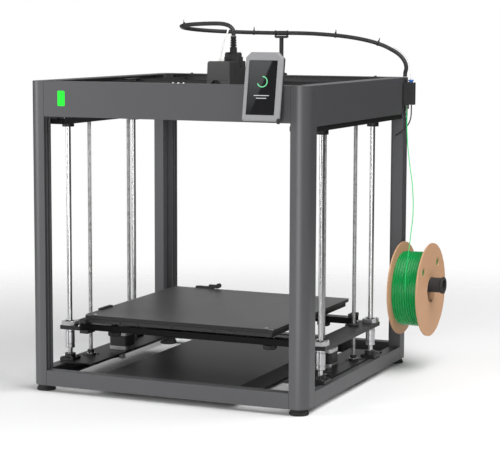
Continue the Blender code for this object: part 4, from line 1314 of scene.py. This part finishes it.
    def trim(self):
        """The clip on the left edge and the nozzle wiper behind the rear edge."""
        low, high = corners("print_sheet")
        clip = Form().box((low.x - 0.0030, -0.1750, 0.1440), (low.x + 0.0060, -0.1270, 0.1530))
        clip.piece("bed_clip", "bed", black_plastic, edge=0.0012)
        wiper = Form()
        wiper.box((-0.1560, high.y + 0.0004, 0.1470), (-0.1150, high.y + 0.0120, 0.1530))
        wiper.box((-0.1250, high.y + 0.0020, 0.1500), (-0.1020, high.y + 0.0100, 0.1575))
        wiper.bar(0.0050, (-0.1020, high.y + 0.0010, 0.1560), (-0.1020, high.y + 0.0110, 0.1560), 32)
        wiper.piece("nozzle_wiper", "bed", black_plastic, edge=0.0008)


# ---- top of the frame ---------------------------------------------------------------------
def side_span(x, inner, outer):
    return sorted((x * inner, x * outer))


class PRINTER_OT_top(Step, bpy.types.Operator):
    """Build the top rails, the head's motors and the belts along the sides"""

    bl_idname = "printer.top"
    bl_label = "Top Rails"

    def execute(self, context):
        for side, x in SIDES:
            self.rail(side, x)
            self.motor(side, x)
            self.belts(side, x)
        return {"FINISHED"}

    def rail(self, side, x):
        node = f"top_rail_{side}"
        replaced(node, black_steel, edge=0.0005)
        low, high = corners(node)
        x0, x1 = side_span(x, 0.2411, 0.2539)
        y0, y1 = low.y + 0.0035, high.y - 0.0035
        section = [(x0, 0.5371), (x1, 0.5371), (x1, 0.5410), (x1 - 0.0014, 0.5425),
                   (x1, 0.5440), (x1, 0.5478), (x0, 0.5478), (x0, 0.5440),
                   (x0 + 0.0014, 0.5425), (x0, 0.5410)]
        Form().prism([(u, v) for u, v in section], y0, y1, "Y").piece(
            f"guide_rail_{side}", "frame", rod_steel, edge=0.0003)
        form = Form()
        for i in range(12):
            spot = y0 + 0.0200 + (y1 - y0 - 0.0400) * i / 11
            form.turned([(0, 0.54785), (0.0032, 0.54785), (0.0032, 0.5476), (0, 0.5476)],
                        ((x0 + x1) / 2, spot, 0), steps=24)
        form.piece(f"guide_rail_{side}_screws", "frame", fastener)
        clamps = Form()
        for end, _ in ENDS:
            rod = ROD[side, end]
            for v in (-0.0150, 0.0150):
                clamps.bolt((rod.x, rod.y + v, 0.5275), (0, 0, -1), radius=0.0026)
        clamps.piece(f"upper_clamp_screws_{side}", "frame", fastener)

    def motor(self, side, x):
        node = f"xy_motor_{side}"
        low, high = corners(node)
        axis = ((low.x + high.x) / 2, (low.y + high.y) / 2)
        motor(node, axis, low.z, 0.5910, node)
        pulley(f"{node}_pulley", axis, 0.0058, 0.5945, 0.6058, "frame", (0.5900, 0.6060))

    def belts(self, side, x):
        """Two belts along each side, one ahead of the gantry and one behind it."""
        width, thick = sizes().belt_width, sizes().belt_thickness
        gantry_low, gantry_high = corners("x_beam")
        u = x * 0.2235
        for index, z in enumerate((0.5990, 0.6080 - width / 2)):
            for end, y0, y1 in (("front", -0.2450, gantry_low.y), ("rear", gantry_high.y, 0.2510)):
                form = Form()
                steps = 24
                shift = u - x * 0.0045 * index
                loops = []
                for i in range(steps + 1):
                    y = y0 + (y1 - y0) * i / steps
                    loops.append([(shift, y, z - width / 2), (shift + thick, y, z - width / 2),
                                  (shift + thick, y, z + width / 2), (shift, y, z + width / 2)])
                form.rings(loops)
                still, moving = (y0, y1) if end == "front" else (y1, y0)
                form.piece(f"head_belt_{end}_{side}_{index + 1}", ("frame", "gantry"), belt_rubber,
                           blend=((u, still, z), (u, moving, z)))
        idler = Form()
        idler.turned([(0, 0.6092), (0.0085, 0.6092), (0.0085, 0.6080), (0.0070, 0.6076), (0.0070, 0.5924),
                      (0.0085, 0.5920), (0.0085, 0.5908), (0, 0.5908)], (x * 0.2300, -0.2490, 0))
        idler.piece(f"front_idler_{side}", "frame", fastener, edge=0.0003)
        block = Form()
        x0, x1 = side_span(x, 0.2190, 0.2580)
        block.box((x0, -0.2725, 0.5800), (x1, -0.2380, 0.5905))
        block.box((x0, -0.2725, 0.5905), (x1, -0.2590, 0.6105))
        block.piece(f"idler_block_{side}", "frame", black_steel, edge=0.0008)


# ---- gantry and head ----------------------------------------------------------------------
class PRINTER_OT_gantry(Step, bpy.types.Operator):
    """Build the travelling beam with its carriages, rail and belts"""

    bl_idname = "printer.gantry"
    bl_label = "Gantry"

    def execute(self, context):
        replaced("x_beam", black_aluminium, "gantry", edge=0.0006)
        low = corners("x_beam")[0]
        rail = Form().prism(
            [(0.0225, 0.5574), (0.0225, 0.5555), (0.0238, 0.5545), (0.0225, 0.5535), (0.0225, 0.5515),
             (0.0335, 0.5515), (0.0335, 0.5535), (0.0322, 0.5545), (0.0335, 0.5555), (0.0335, 0.5574)],
            -0.2150, 0.2150, "X")
        rail.piece("beam_rail", "gantry", rod_steel, edge=0.0002)
        screws, wheels = Form(), Form()
        for _, x in SIDES:
            for y in (0.0110, 0.0330):
                screws.bolt((x * 0.2440, y, 0.5900), radius=0.0028)
                screws.bolt((x * 0.2540, y, 0.5900), radius=0.0022)
            for y in (0.0080, 0.0370):
                wheels.turned([(0, 0.6098), (0.0080, 0.6098), (0.0080, 0.6086), (0.0065, 0.6082),
                               (0.0065, 0.5914), (0.0080, 0.5910), (0.0080, 0.5901), (0, 0.5901)],
                              (x * 0.2320, y, 0))
        screws.piece("gantry_screws", "gantry", bright_fastener)
        wheels.piece("gantry_idlers", "gantry", fastener, edge=0.0003)
        self.belts(low)
        return {"FINISHED"}

    def belts(self, low):
        """Belts along the beam, each drawn between an end idler and the head."""
        width, thick = sizes().belt_width, sizes().belt_thickness
        for side, x in SIDES:
            fixed, moving = x * 0.2300, (HEAD_HIGH.x - 0.004 if x > 0 else HEAD_LOW.x + 0.004)
            for index, (y, z) in enumerate(((0.0130, 0.6020), (0.0440, 0.6060))):
                loops = []
                steps = 24
                for i in range(steps + 1):
                    u = fixed + (moving - fixed) * i / steps
                    loops.append([(u, y, z - width / 2), (u, y + thick, z - width / 2),
                                  (u, y + thick, z + width / 2), (u, y, z + width / 2)])
                Form().rings(loops).piece(
                    f"beam_belt_{side}_{index + 1}", ("gantry", "head"), belt_rubber,
                    blend=((fixed, y, z), (moving, y, z)))


class PRINTER_OT_head(Step, bpy.types.Operator):
    """Build the print head: covers, fan, cable socket, hot end and nozzle"""

    bl_idname = "printer.head"
    bl_label = "Print Head"

    def execute(self, context):
        self.body()
        self.front()
        self.socket()
        self.hot_end()
        return {"FINISHED"}

    def outline(self, inset, foot):
        """Front outline above a height: square below, round corners and a leaning left edge above."""
        left, right, top = HEAD_LOW.x + inset, HEAD_HIGH.x - inset / 3, 0.6500 - inset
        lean, radius = 0.0030, 0.0055
        points = [(left, foot), (right, foot)]
        points += arc((right - radius * 0.5, top - radius * 0.5), radius * 0.5, 0, 90, 6)
        return points + arc((left + lean + radius, top - radius), radius, 90, 174, 10)

    def body(self):
        low = HEAD_LOW
        step, shelf = 0.0159, 0.5981
        form = Form().prism(self.outline(0.0006, shelf), low.y + 0.0055, HEAD_HIGH.y, "Y")
        form.box((low.x + 0.0006, low.y + 0.0055, low.z), (HEAD_HIGH.x - 0.0002, step, shelf + 0.0002))
        form.piece("head_body", "head", black_plastic, ["head_cover"], edge=0.0008)
        slot = Form().box((HEAD_HIGH.x - 0.0005, -0.0094, 0.6157), (HEAD_HIGH.x + 0.0002, -0.0076, 0.6379))
        slot.box((HEAD_HIGH.x - 0.0005, -0.0150, 0.5990), (HEAD_HIGH.x + 0.0002, 0.0120, 0.6000))
        slot.piece("head_side_slot", "head", rubber)
        clip = Form().box((HEAD_HIGH.x - 0.0005, 0.0130, 0.6380), (HEAD_HIGH.x + 0.0010, 0.0195, 0.6465))
        clip.box((HEAD_HIGH.x, 0.0145, 0.6395), (HEAD_HIGH.x + 0.0018, 0.0180, 0.6420))
        clip.piece("head_side_clip", "head", black_plastic, edge=0.0004)
        carriage = Form().box((-0.0270, 0.0070, 0.5462), (0.0130, 0.0155, 0.5562))
        carriage.box((-0.0270, 0.0155, 0.5462), (0.0130, 0.0370, 0.5510))
        carriage.piece("head_carriage", "head", aluminium, edge=0.0008)

    def front(self):
        """Grey front shell with a leaning left edge, a black strip painted as a crease's shade, and a round
        fan opening.
        """
        low = HEAD_LOW
        left, right = low.x, HEAD_HIGH.x
        fan = Vector((-0.0080, 0.5990))
        hole = 0.0128
        sides = 48
        inner = [(fan.x + hole * math.cos(a), fan.y + hole * math.sin(a))
                 for a in (math.tau * (i + 0.5) / sides for i in range(sides))]
        shell = Form().plate(self.outline(0.0, low.z), [inner], low.y, low.y + 0.0058, "Y")
        shell.piece("head_front_shell", "head", head_plastic, edge=0.0009)
        ring = Form().turned(
            [(hole + 0.0001, low.y + 0.0002), (hole - 0.0012, low.y + 0.0012),
             (hole - 0.0012, low.y + 0.0058), (hole + 0.0001, low.y + 0.0058)],
            (fan.x, 0, fan.y), "Y", closed=True)
        ring.piece("head_fan_ring", "head", black_plastic)
        blades = Form().turned([(0, low.y + 0.0030), (0.0048, low.y + 0.0030), (0.0052, low.y + 0.0058),
                                (0, low.y + 0.0058)], (fan.x, 0, fan.y), "Y")
        for i in range(7):
            angle = math.tau * i / 7
            loops = []
            for r, twist in ((0.0045, 0.75), (0.0085, 0.55), (0.0112, 0.40)):
                loop = []
                for across, deep in ((-0.0024, 0), (0.0024, twist * 0.0030),
                                     (0.0024, twist * 0.0030 + 0.0006), (-0.0024, 0.0006)):
                    a = angle + across * 1.7 / r
                    loop.append((fan.x + r * math.cos(a), low.y + 0.0034 + deep, fan.y + r * math.sin(a)))
                loops.append(loop)
            blades.rings(loops)
        blades.piece("head_fan_blades", "head", black_plastic)
        # painted shade: a thin black strip across the grey front stands for the shadow in a crease
        crease = Form().box((left + 0.0006, low.y - 0.0001, 0.6116), (right - 0.0004, low.y + 0.0004, 0.6121))
        crease.piece("head_front_crease_painted_shade", "head", black_plastic)

    def socket(self):
        """Connector block with two ears, and the ribbed relief of the cable sleeve."""
        x, y = 0.0060, 0.0145
        block = Form().box((x - 0.0165, y - 0.0100, 0.6485), (x + 0.0155, y + 0.0140, 0.6580))
        for ear in (-0.0125, 0.0115):
            outline = [(x + ear - 0.0040, 0.6575), (x + ear + 0.0040, 0.6575),
                       (x + ear + 0.0040, 0.6640), (x + ear + 0.0020, 0.6672),
                       (x + ear - 0.0020, 0.6672), (x + ear - 0.0040, 0.6640)]
            block.prism(outline, y - 0.0070, y + 0.0080, "Y")
        block.box((x - 0.0090, y - 0.0080, 0.6575), (x + 0.0080, y + 0.0090, 0.6632))
        block.piece("cable_socket", "head", black_plastic, edge=0.0008)
        relief = [(0, 0.6998), (0.0052, 0.6998)]
        top, ribs, pitch = 0.6985, 6, 0.0034
        for i in range(ribs):
            z = top - pitch * i
            relief += [(0.0060 + 0.0002 * i, z), (0.0060 + 0.0002 * i, z - pitch * 0.55),
                       (0.0049, z - pitch * 0.60), (0.0049, z - pitch * 0.98)]
        relief += [(0.0072, 0.6770), (0.0075, 0.6620), (0, 0.6620)]
        Form().turned(relief, (x, y, 0), steps=48).piece("cable_relief", "head", rubber, edge=0.0003)
        tx, ty = HEAD_TUBE_ROUTE[0][:2]
        fitting = Form().turned(
            [(0, 0.6560), (0.0034, 0.6560), (0.0040, 0.6545), (0.0040, 0.6520), (0.0050, 0.6516),
             (0.0050, 0.6490), (0, 0.6490)], (tx, ty, 0), steps=32)
        fitting.piece("head_tube_fitting", "head", white_tube, edge=0.0003)

    def hot_end(self):
        low, high = corners("hotend")
        middle = (low + high) / 2
        x, y = middle.x, middle.y
        block = Form().box((x - 0.0090, y - 0.0085, low.z + 0.0055), (x + 0.0090, y + 0.0085, high.z))
        block.piece("heater_block", "head", aluminium, ["hotend"], edge=0.0006)
        profile = [(0, low.z + 0.0060), (0.0036, low.z + 0.0060), (0.0036, low.z + 0.0030),
                   (0.0020, low.z + 0.0022), (0.0006, low.z), (0, low.z)]
        Form().turned(profile, (x, y, 0), steps=6 * 8).piece("nozzle", "head", brass, edge=0.0002)


# ---- screen -------------------------------------------------------------------------------
def screen_outline(left, right, low, high, chamfer, radius):
    """Outline with round lower corners and chamfered upper ones, always of 24 points."""
    points = arc((left + radius, low + radius), radius, 180, 270, 5)
    points += arc((right - radius, low + radius), radius, 270, 360, 5)
    for (u0, v0), (u1, v1) in (((right, high - chamfer), (right - chamfer, high)),
                               ((left + chamfer, high), (left, high - chamfer))):
        points += [(u0 + (u1 - u0) * i / 5, v0 + (v1 - v0) * i / 5) for i in range(6)]
    return points


class PRINTER_OT_screen(Step, bpy.types.Operator):
    """Build the tilting touch screen and its bracket"""

    bl_idname = "printer.screen"
    bl_label = "Screen"

    def execute(self, context):
        self.lean = Matrix.Translation(SCREEN_PIVOT) @ Matrix.Rotation(-SCREEN_TILT, 4, "X")
        left, right, low, high = -0.0395, 0.0340, -0.0045, 0.1225
        front, back = -0.0130, 0.0055
        window = (left + 0.0068, right - 0.0088, low + 0.0105, high - 0.0145)
        self.bezel(left, right, low, high, front, window)
        self.shell(left, right, low, high, back)
        self.glass(window, front)
        self.details(left, right, low, high, front)
        replaced("screen_bracket", black_steel, edge=0.0004)
        return {"FINISHED"}

    def bezel(self, left, right, low, high, front, window):
        loops = []
        for inset, y in ((0, front + 0.0075), (0, front + 0.0030), (0.0022, front)):
            outline = screen_outline(left + inset, right - inset, low + inset, high - inset,
                                     0.0100 - inset * 0.4, 0.0045)
            loops.append([(u, y, v) for u, v in outline])
        w0, w1, h0, h1 = window
        for inset, y in ((0, front), (0.0009, front + 0.0009), (0.0009, front + 0.0018),
                         (-0.0030, front + 0.0018), (-0.0030, front + 0.0075)):
            outline = screen_outline(w0 + inset, w1 - inset, h0 + inset, h1 - inset, 0.0012, 0.0012)
            loops.append([(u, y, v) for u, v in outline])
        form = Form().rings(loops, closed=True).moved(self.lean)
        form.piece("screen_bezel", "screen", grey_plastic, ["screen_housing"], edge=0.0003)

    def shell(self, left, right, low, high, back):
        loops = []
        for inset, y in ((0.0004, -0.0054), (0.0004, back - 0.0040), (0.0040, back)):
            outline = screen_outline(left + inset, right - inset, low + inset, high - inset,
                                     0.0100, 0.0045)
            loops.append([(u, y, v) for u, v in outline])
        form = Form().rings(loops).moved(self.lean)
        form.piece("screen_back_shell", "screen", black_plastic, edge=0.0006)
        vents = Form()
        for i in range(6):
            z = 0.0700 + 0.0052 * i
            vents.box((-0.0240, back - 0.0004, z), (0.0190, back + 0.0002, z + 0.0020))
        vents.moved(self.lean).piece("screen_vents", "screen", rubber)

    def glass(self, window, front):
        w0, w1, h0, h1 = window
        plate = rounded((w0 - 0.0020, h0 - 0.0020), (w1 + 0.0020, h1 + 0.0020), 0.0010, 3)
        Form().prism(plate, front + 0.0020, front + 0.0030, "Y").moved(self.lean).piece(
            "screen_glass_pane", "screen", screen_glass)
        middle = ((w0 + w1) / 2, (h0 + h1) / 2 + 0.0110)
        y = front + 0.00192
        ring = Form()
        outer, inner = 0.0105, 0.0086
        sweep = [90 - 250 * i / 40 for i in range(41)]
        loops = []
        for degrees in sweep:
            a = math.radians(degrees)
            loops.append([(middle[0] + r * math.cos(a), depth, middle[1] + r * math.sin(a))
                          for r, depth in ((inner, y), (outer, y), (outer, y + 0.0002), (inner, y + 0.0002))])
        ring.rings(loops).moved(self.lean).piece("screen_progress_ring", "screen", screen_mark)
        lines = Form()
        for half, z in ((0.0150, middle[1] - 0.0260), (0.0100, middle[1] - 0.0310)):
            lines.box((middle[0] - half, y, z), (middle[0] + half, y + 0.0002, z + 0.0014))
        lines.moved(self.lean).piece("screen_text_bars", "screen", screen_line)

    def details(self, left, right, low, high, front):
        knob = Form().bar(0.0052, (right - 0.0030, -0.0100, low + 0.0010),
                          (right + 0.0012, -0.0100, low + 0.0010), 40)
        knob.moved(self.lean).piece("screen_tilt_knob", "screen", black_plastic, edge=0.0008)
        lip = Form().box((left + 0.0040, -0.0100, low - 0.0002), (right - 0.0060, -0.0040, low + 0.0012))
        lip.moved(self.lean).piece("screen_lower_lip", "screen", black_plastic, edge=0.0004)
        screws = Form()
        for z in (low + 0.0200, high - 0.0200):
            screws.bolt((right, -0.0030, z), (1, 0, 0), radius=0.0014, height=0.0005)
            screws.bolt((left, -0.0030, z), (-1, 0, 0), radius=0.0014, height=0.0005)
        screws.moved(self.lean).piece("screen_screws", "screen", fastener)


# ---- reel ---------------------------------------------------------------------------------
class PRINTER_OT_reel(Step, bpy.types.Operator):
    """Build the card spool, its winding and the holder"""

    bl_idname = "printer.reel"
    bl_label = "Spool"

    def execute(self, context):
        low, high = corners("spool")
        self.flanges(low, high)
        self.winding(low, high)
        self.holder()
        return {"FINISHED"}

    def flanges(self, low, high):
        radius = (high.y - low.y) / 2
        bore, hub, thick = 0.0263, 0.0320, 0.0030
        _, y, z = REEL_AXIS
        sides = 96

        def ring(middle, r, count):
            return [(middle[0] + r * math.cos(math.tau * i / count),
                     middle[1] + r * math.sin(math.tau * i / count)) for i in range(count)]

        holes = [ring((y, z), bore, 64)]
        for angle in (52, 141):
            a = math.radians(angle)
            holes.append(ring((y + 0.0680 * math.cos(a), z + 0.0680 * math.sin(a)), 0.0095, 32))
        for name, x0 in (("inner", low.x), ("outer", high.x - thick)):
            Form().plate(ring((y, z), radius, sides), holes, x0, x0 + thick, "X").piece(
                f"spool_flange_{name}", "reel", card, ["spool"] if name == "inner" else (), edge=0.0004)
        core = Form().turned(
            [(bore, high.x - thick), (hub, high.x - thick), (hub, low.x + thick), (bore, low.x + thick)],
            (0, y, z), "X", steps=64, closed=True)
        core.piece("spool_core", "reel", card)

    def winding(self, low, high):
        """Strands laid side by side with a slow drift, so that no two rows look alike."""
        pitch = sizes().filament
        node_low, node_high = corners("filament_winding")
        radius = (node_high.y - node_low.y) / 2 - pitch * 0.6
        _, y, z = REEL_AXIS
        start, end = low.x + 0.0033, high.x - 0.0033
        rows = int((end - start) / pitch)
        drift = random.Random(7)
        lift = [(drift.uniform(-0.15, 0.15) - 0.8 * (row % 3 == 0)) * pitch for row in range(rows + 3)]

        def strand(angle, height):
            place = (height - start) / pitch
            wander = 0.55 * noise.noise((math.cos(angle) * 1.3, math.sin(angle) * 1.3, place * 0.09))
            place = place - angle / math.tau + wander
            across = place % 1.0
            return pitch * 0.5 * math.sqrt(max(0.0, 1 - (2 * across - 1) ** 2)) + lift[int(place) % rows]

        steps = 6
        count = rows * steps
        inner = 0.0325
        profile = [(inner, end)]
        profile += [(radius, end - (end - start) * i / count) for i in range(count + 1)]
        profile.append((inner, start))
        loops_form = Form().turned(
            profile, (0, y, z), "X", steps=144, closed=True,
            ridge=lambda a, h: strand(a, h) if start < h < end else 0)
        loops_form.piece("filament_turns", "reel", green_filament, ["filament_winding"], sharp=80)

    def holder(self):
        low, high = corners("spool_holder")
        axis_z = (low.z + high.z) / 2
        y = REEL_AXIS.y
        outer, inner, lip = 0.0155, 0.0122, 0.0175
        profile = [(inner, high.x), (lip - 0.0006, high.x), (lip, high.x - 0.0008), (lip, high.x - 0.0050),
                   (outer, high.x - 0.0062), (outer, low.x + 0.0030), (inner, low.x + 0.0030)]
        tube = Form().turned(profile, (0, y, axis_z), "X", steps=72, closed=True)
        tube.piece("spool_holder_tube", "frame", black_plastic, ["spool_holder"], edge=0.0004)
        plate = Form().prism(
            rounded((low.y, low.z), (high.y, high.z), 0.0040), low.x, low.x + 0.0048, "X")
        plate.piece("spool_holder_plate", "frame", black_plastic, edge=0.0008)
        bolts = Form()
        for z in (axis_z - 0.0240, axis_z + 0.0240):
            bolts.bolt((low.x + 0.0046, y + 0.0130, z), (1, 0, 0), radius=0.0030, height=0.0010)
        bolts.piece("spool_holder_bolts", "frame", fastener)
        ribs = Form()
        for angle in (0, 90):
            a = math.radians(angle + 45)
            u, v = math.cos(a) * (inner + 0.0005), math.sin(a) * (inner + 0.0005)
            w, t = -math.sin(a) * 0.0008, math.cos(a) * 0.0008
            outline = [(y + u + w, axis_z + v + t), (y - u + w, axis_z - v + t),
                       (y - u - w, axis_z - v - t), (y + u - w, axis_z + v - t)]
            ribs.prism(outline, low.x + 0.0040, high.x - 0.0120, "X")
        ribs.piece("spool_holder_ribs", "frame", black_plastic)


# ---- post, sensor and base ----------------------------------------------------------------
class PRINTER_OT_fittings(Step, bpy.types.Operator):
    """Build the cable post, the filament sensor, the base lid and the power inlet"""

    bl_idname = "printer.fittings"
    bl_label = "Fittings"

    def execute(self, context):
        self.post()
        self.sensor()
        self.base()
        self.inlet()
        return {"FINISHED"}

    def post(self):
        low, high = corners("cable_post")
        middle = (low + high) / 2
        y, top = middle.y, high.z
        form = Form().turned(
            [(0, top - 0.0020), (0.0046, top - 0.0020), (0.0046, low.z + 0.0100), (0.0062, low.z + 0.0060),
             (0.0062, low.z + 0.0030), (0, low.z + 0.0030)], (0, y, 0), steps=48)
        form.piece("cable_post_tube", "frame", black_plastic, ["cable_post"], edge=0.0003)
        saddle = Form().box((-0.0125, y - 0.0050, top - 0.0060), (0.0125, y + 0.0050, top - 0.0008))
        saddle.box((-0.0155, y - 0.0035, top - 0.0048), (0.0155, y + 0.0035, top - 0.0012))
        foot = rounded((-0.0110, y - 0.0090), (0.0110, y + 0.0090), 0.0030)
        saddle.prism(foot, low.z, low.z + 0.0040)
        saddle.piece("cable_post_saddle", "frame", black_plastic, edge=0.0009)
        rings = Form()
        for x in (-0.0138, 0.0138):
            rings.turned([(0.0044, x - 0.0016), (0.0058, x - 0.0016),
                          (0.0058, x + 0.0016), (0.0044, x + 0.0016)],
                         (0, 0.2830, 0.7045), "X", steps=32, closed=True)
        rings.turned([(0.0044, -0.0100), (0.0050, -0.0100), (0.0050, 0.0100), (0.0044, 0.0100)],
                     (0, 0.2830, 0.7045), "X", steps=32, closed=True)
        rings.piece("cable_post_clamps", "frame", black_plastic, edge=0.0003)
        bolts = Form()
        for x in (-0.0080, 0.0080):
            bolts.bolt((x, y, low.z + 0.0040), radius=0.0018, height=0.0012)
        bolts.piece("cable_post_screws", "frame", fastener)

    def sensor(self):
        high = corners("filament_sensor")[1]
        x0, x1, y0, y1, z0, z1 = 0.2955, 0.3170, 0.2400, 0.2560, 0.5570, 0.6040
        seam = x0 + 0.0080
        form = Form().box((x0, y0, z0), (seam - 0.0002, y1, z1))
        form.box((seam + 0.0002, y0 + 0.0002, z0 + 0.0002), (x1, y1 - 0.0002, z1 - 0.0002))
        form.box((seam - 0.0010, y0 + 0.0006, z0 + 0.0006), (seam + 0.0010, y1 - 0.0006, z1 - 0.0006))
        form.box((HALF_WIDTH + 0.0003, y0 + 0.0020, z0 - 0.0100), (x0 + 0.0010, HALF_DEPTH - 0.0200, z1))
        form.piece("filament_sensor_case", "frame", black_plastic, ["filament_sensor"], edge=0.0007)
        cx, cy = REAR_TUBE_ROUTE[0][:2]
        collet = Form().turned(
            [(0.0021, high.z), (0.0052, high.z), (0.0060, high.z - 0.0014), (0.0060, high.z - 0.0026),
             (0.0040, high.z - 0.0030), (0.0040, z1 - 0.0005), (0.0021, z1 - 0.0005)],
            (cx, cy, 0), steps=48, closed=True)
        collet.piece("sensor_collet", "frame", blue_collet, edge=0.0002)
        gland = Form().turned([(0, 0.6105), (0.0026, 0.6105), (0.0032, 0.6085), (0.0032, z1 - 0.0005),
                               (0, z1 - 0.0005)], (x0 + 0.0035, cy, 0), steps=32)
        gland.piece("sensor_gland", "frame", rubber, edge=0.0003)
        stub = Form().turned([(0.0013, z0), (0.0021, z0), (0.0021, z0 - 0.0250), (0.0013, z0 - 0.0250)],
                             (STRAND_ROUTE[-1][0], STRAND_ROUTE[-1][1], 0), steps=32, closed=True)
        stub.piece("sensor_inlet_tube", "frame", clear_tube)
        screws = Form()
        for z in (z0 + 0.0050, z1 - 0.0050):
            screws.bolt((x1, (y0 + y1) / 2 + 0.0045, z), (1, 0, 0), radius=0.0016, height=0.0006)
        screws.piece("sensor_screws", "frame", fastener)

    def base(self):
        replaced("electronics_cover", cover_steel, edge=0.0005)
        low, high = corners("electronics_cover")
        screws = Form()
        for x in (low.x + 0.0060, high.x - 0.0060):
            for y in (low.y + 0.0080, 0.0, high.y - 0.0080):
                screws.bolt((x, y, high.z), radius=0.0026, height=0.0010)
        screws.piece("base_lid_screws", "frame", fastener)
        supply = Form().box((-0.1300, 0.0300, 0.0160), (-0.0320, 0.2450, 0.0380))
        supply.piece("power_supply", "frame", aluminium, edge=0.0010)
        board = Form().box((0.0200, 0.0700, 0.0180), (0.1250, 0.2100, 0.0196))
        for i in range(5):
            board.box((0.0300 + 0.0180 * i, 0.0900, 0.0196), (0.0420 + 0.0180 * i, 0.1020, 0.0260))
        board.piece("main_board", "frame", blue_collet, edge=0.0003)

    def inlet(self):
        replaced("power_inlet", black_plastic, edge=0.0005)
        replaced("power_rocker", black_plastic, "rocker", edge=0.0003)
        low, high = corners("power_inlet")
        x, y, z = low.x + 0.0205, low.y + 0.0015, (low.z + high.z) / 2
        pins = Form()
        for u, v in ((-0.0070, -0.0020), (0.0070, -0.0020), (0.0, 0.0022)):
            pins.box((x + u - 0.0010, y - 0.0003, z + v - 0.0020),
                     (x + u + 0.0010, y + 0.0038, z + v + 0.0020))
        pins.piece("inlet_pins", "frame", bright_fastener, edge=0.0002)


# ---- add-on -------------------------------------------------------------------------------
STEPS = (
    PRINTER_OT_studio, PRINTER_OT_cords, PRINTER_OT_frame, PRINTER_OT_drive, PRINTER_OT_bed,
    PRINTER_OT_top, PRINTER_OT_gantry, PRINTER_OT_head, PRINTER_OT_screen, PRINTER_OT_reel,
    PRINTER_OT_fittings,
)
GROUPS = {
    "printer_colours": PrinterColours, "printer_sizes": PrinterSizes, "printer_studio": PrinterStudio,
}


class PRINTER_PT_panel(bpy.types.Panel):
    """Lists the printer's settings and building steps"""

    bl_idname = "PRINTER_PT_panel"
    bl_label = "Filament Printer"
    bl_space_type = "VIEW_3D"
    bl_region_type = "UI"
    bl_category = "Printer"

    def draw(self, context):
        for group in GROUPS:
            box = self.layout.box()
            for name in GROUPS[group].__annotations__:
                box.prop(getattr(context.scene, group), name)
        for step in STEPS:
            self.layout.operator(step.bl_idname)


def register():
    for entry in (*GROUPS.values(), *STEPS, PRINTER_PT_panel):
        bpy.utils.register_class(entry)
    for name, group in GROUPS.items():
        setattr(bpy.types.Scene, name, bpy.props.PointerProperty(type=group))


def unregister():
    for name in GROUPS:
        delattr(bpy.types.Scene, name)
    for entry in (PRINTER_PT_panel, *reversed(STEPS), *GROUPS.values()):
        bpy.utils.unregister_class(entry)


def main():
    register()
    for step in STEPS:
        group, name = step.bl_idname.split(".")
        getattr(getattr(bpy.ops, group), name)()


if __name__ == "__main__":
    main()
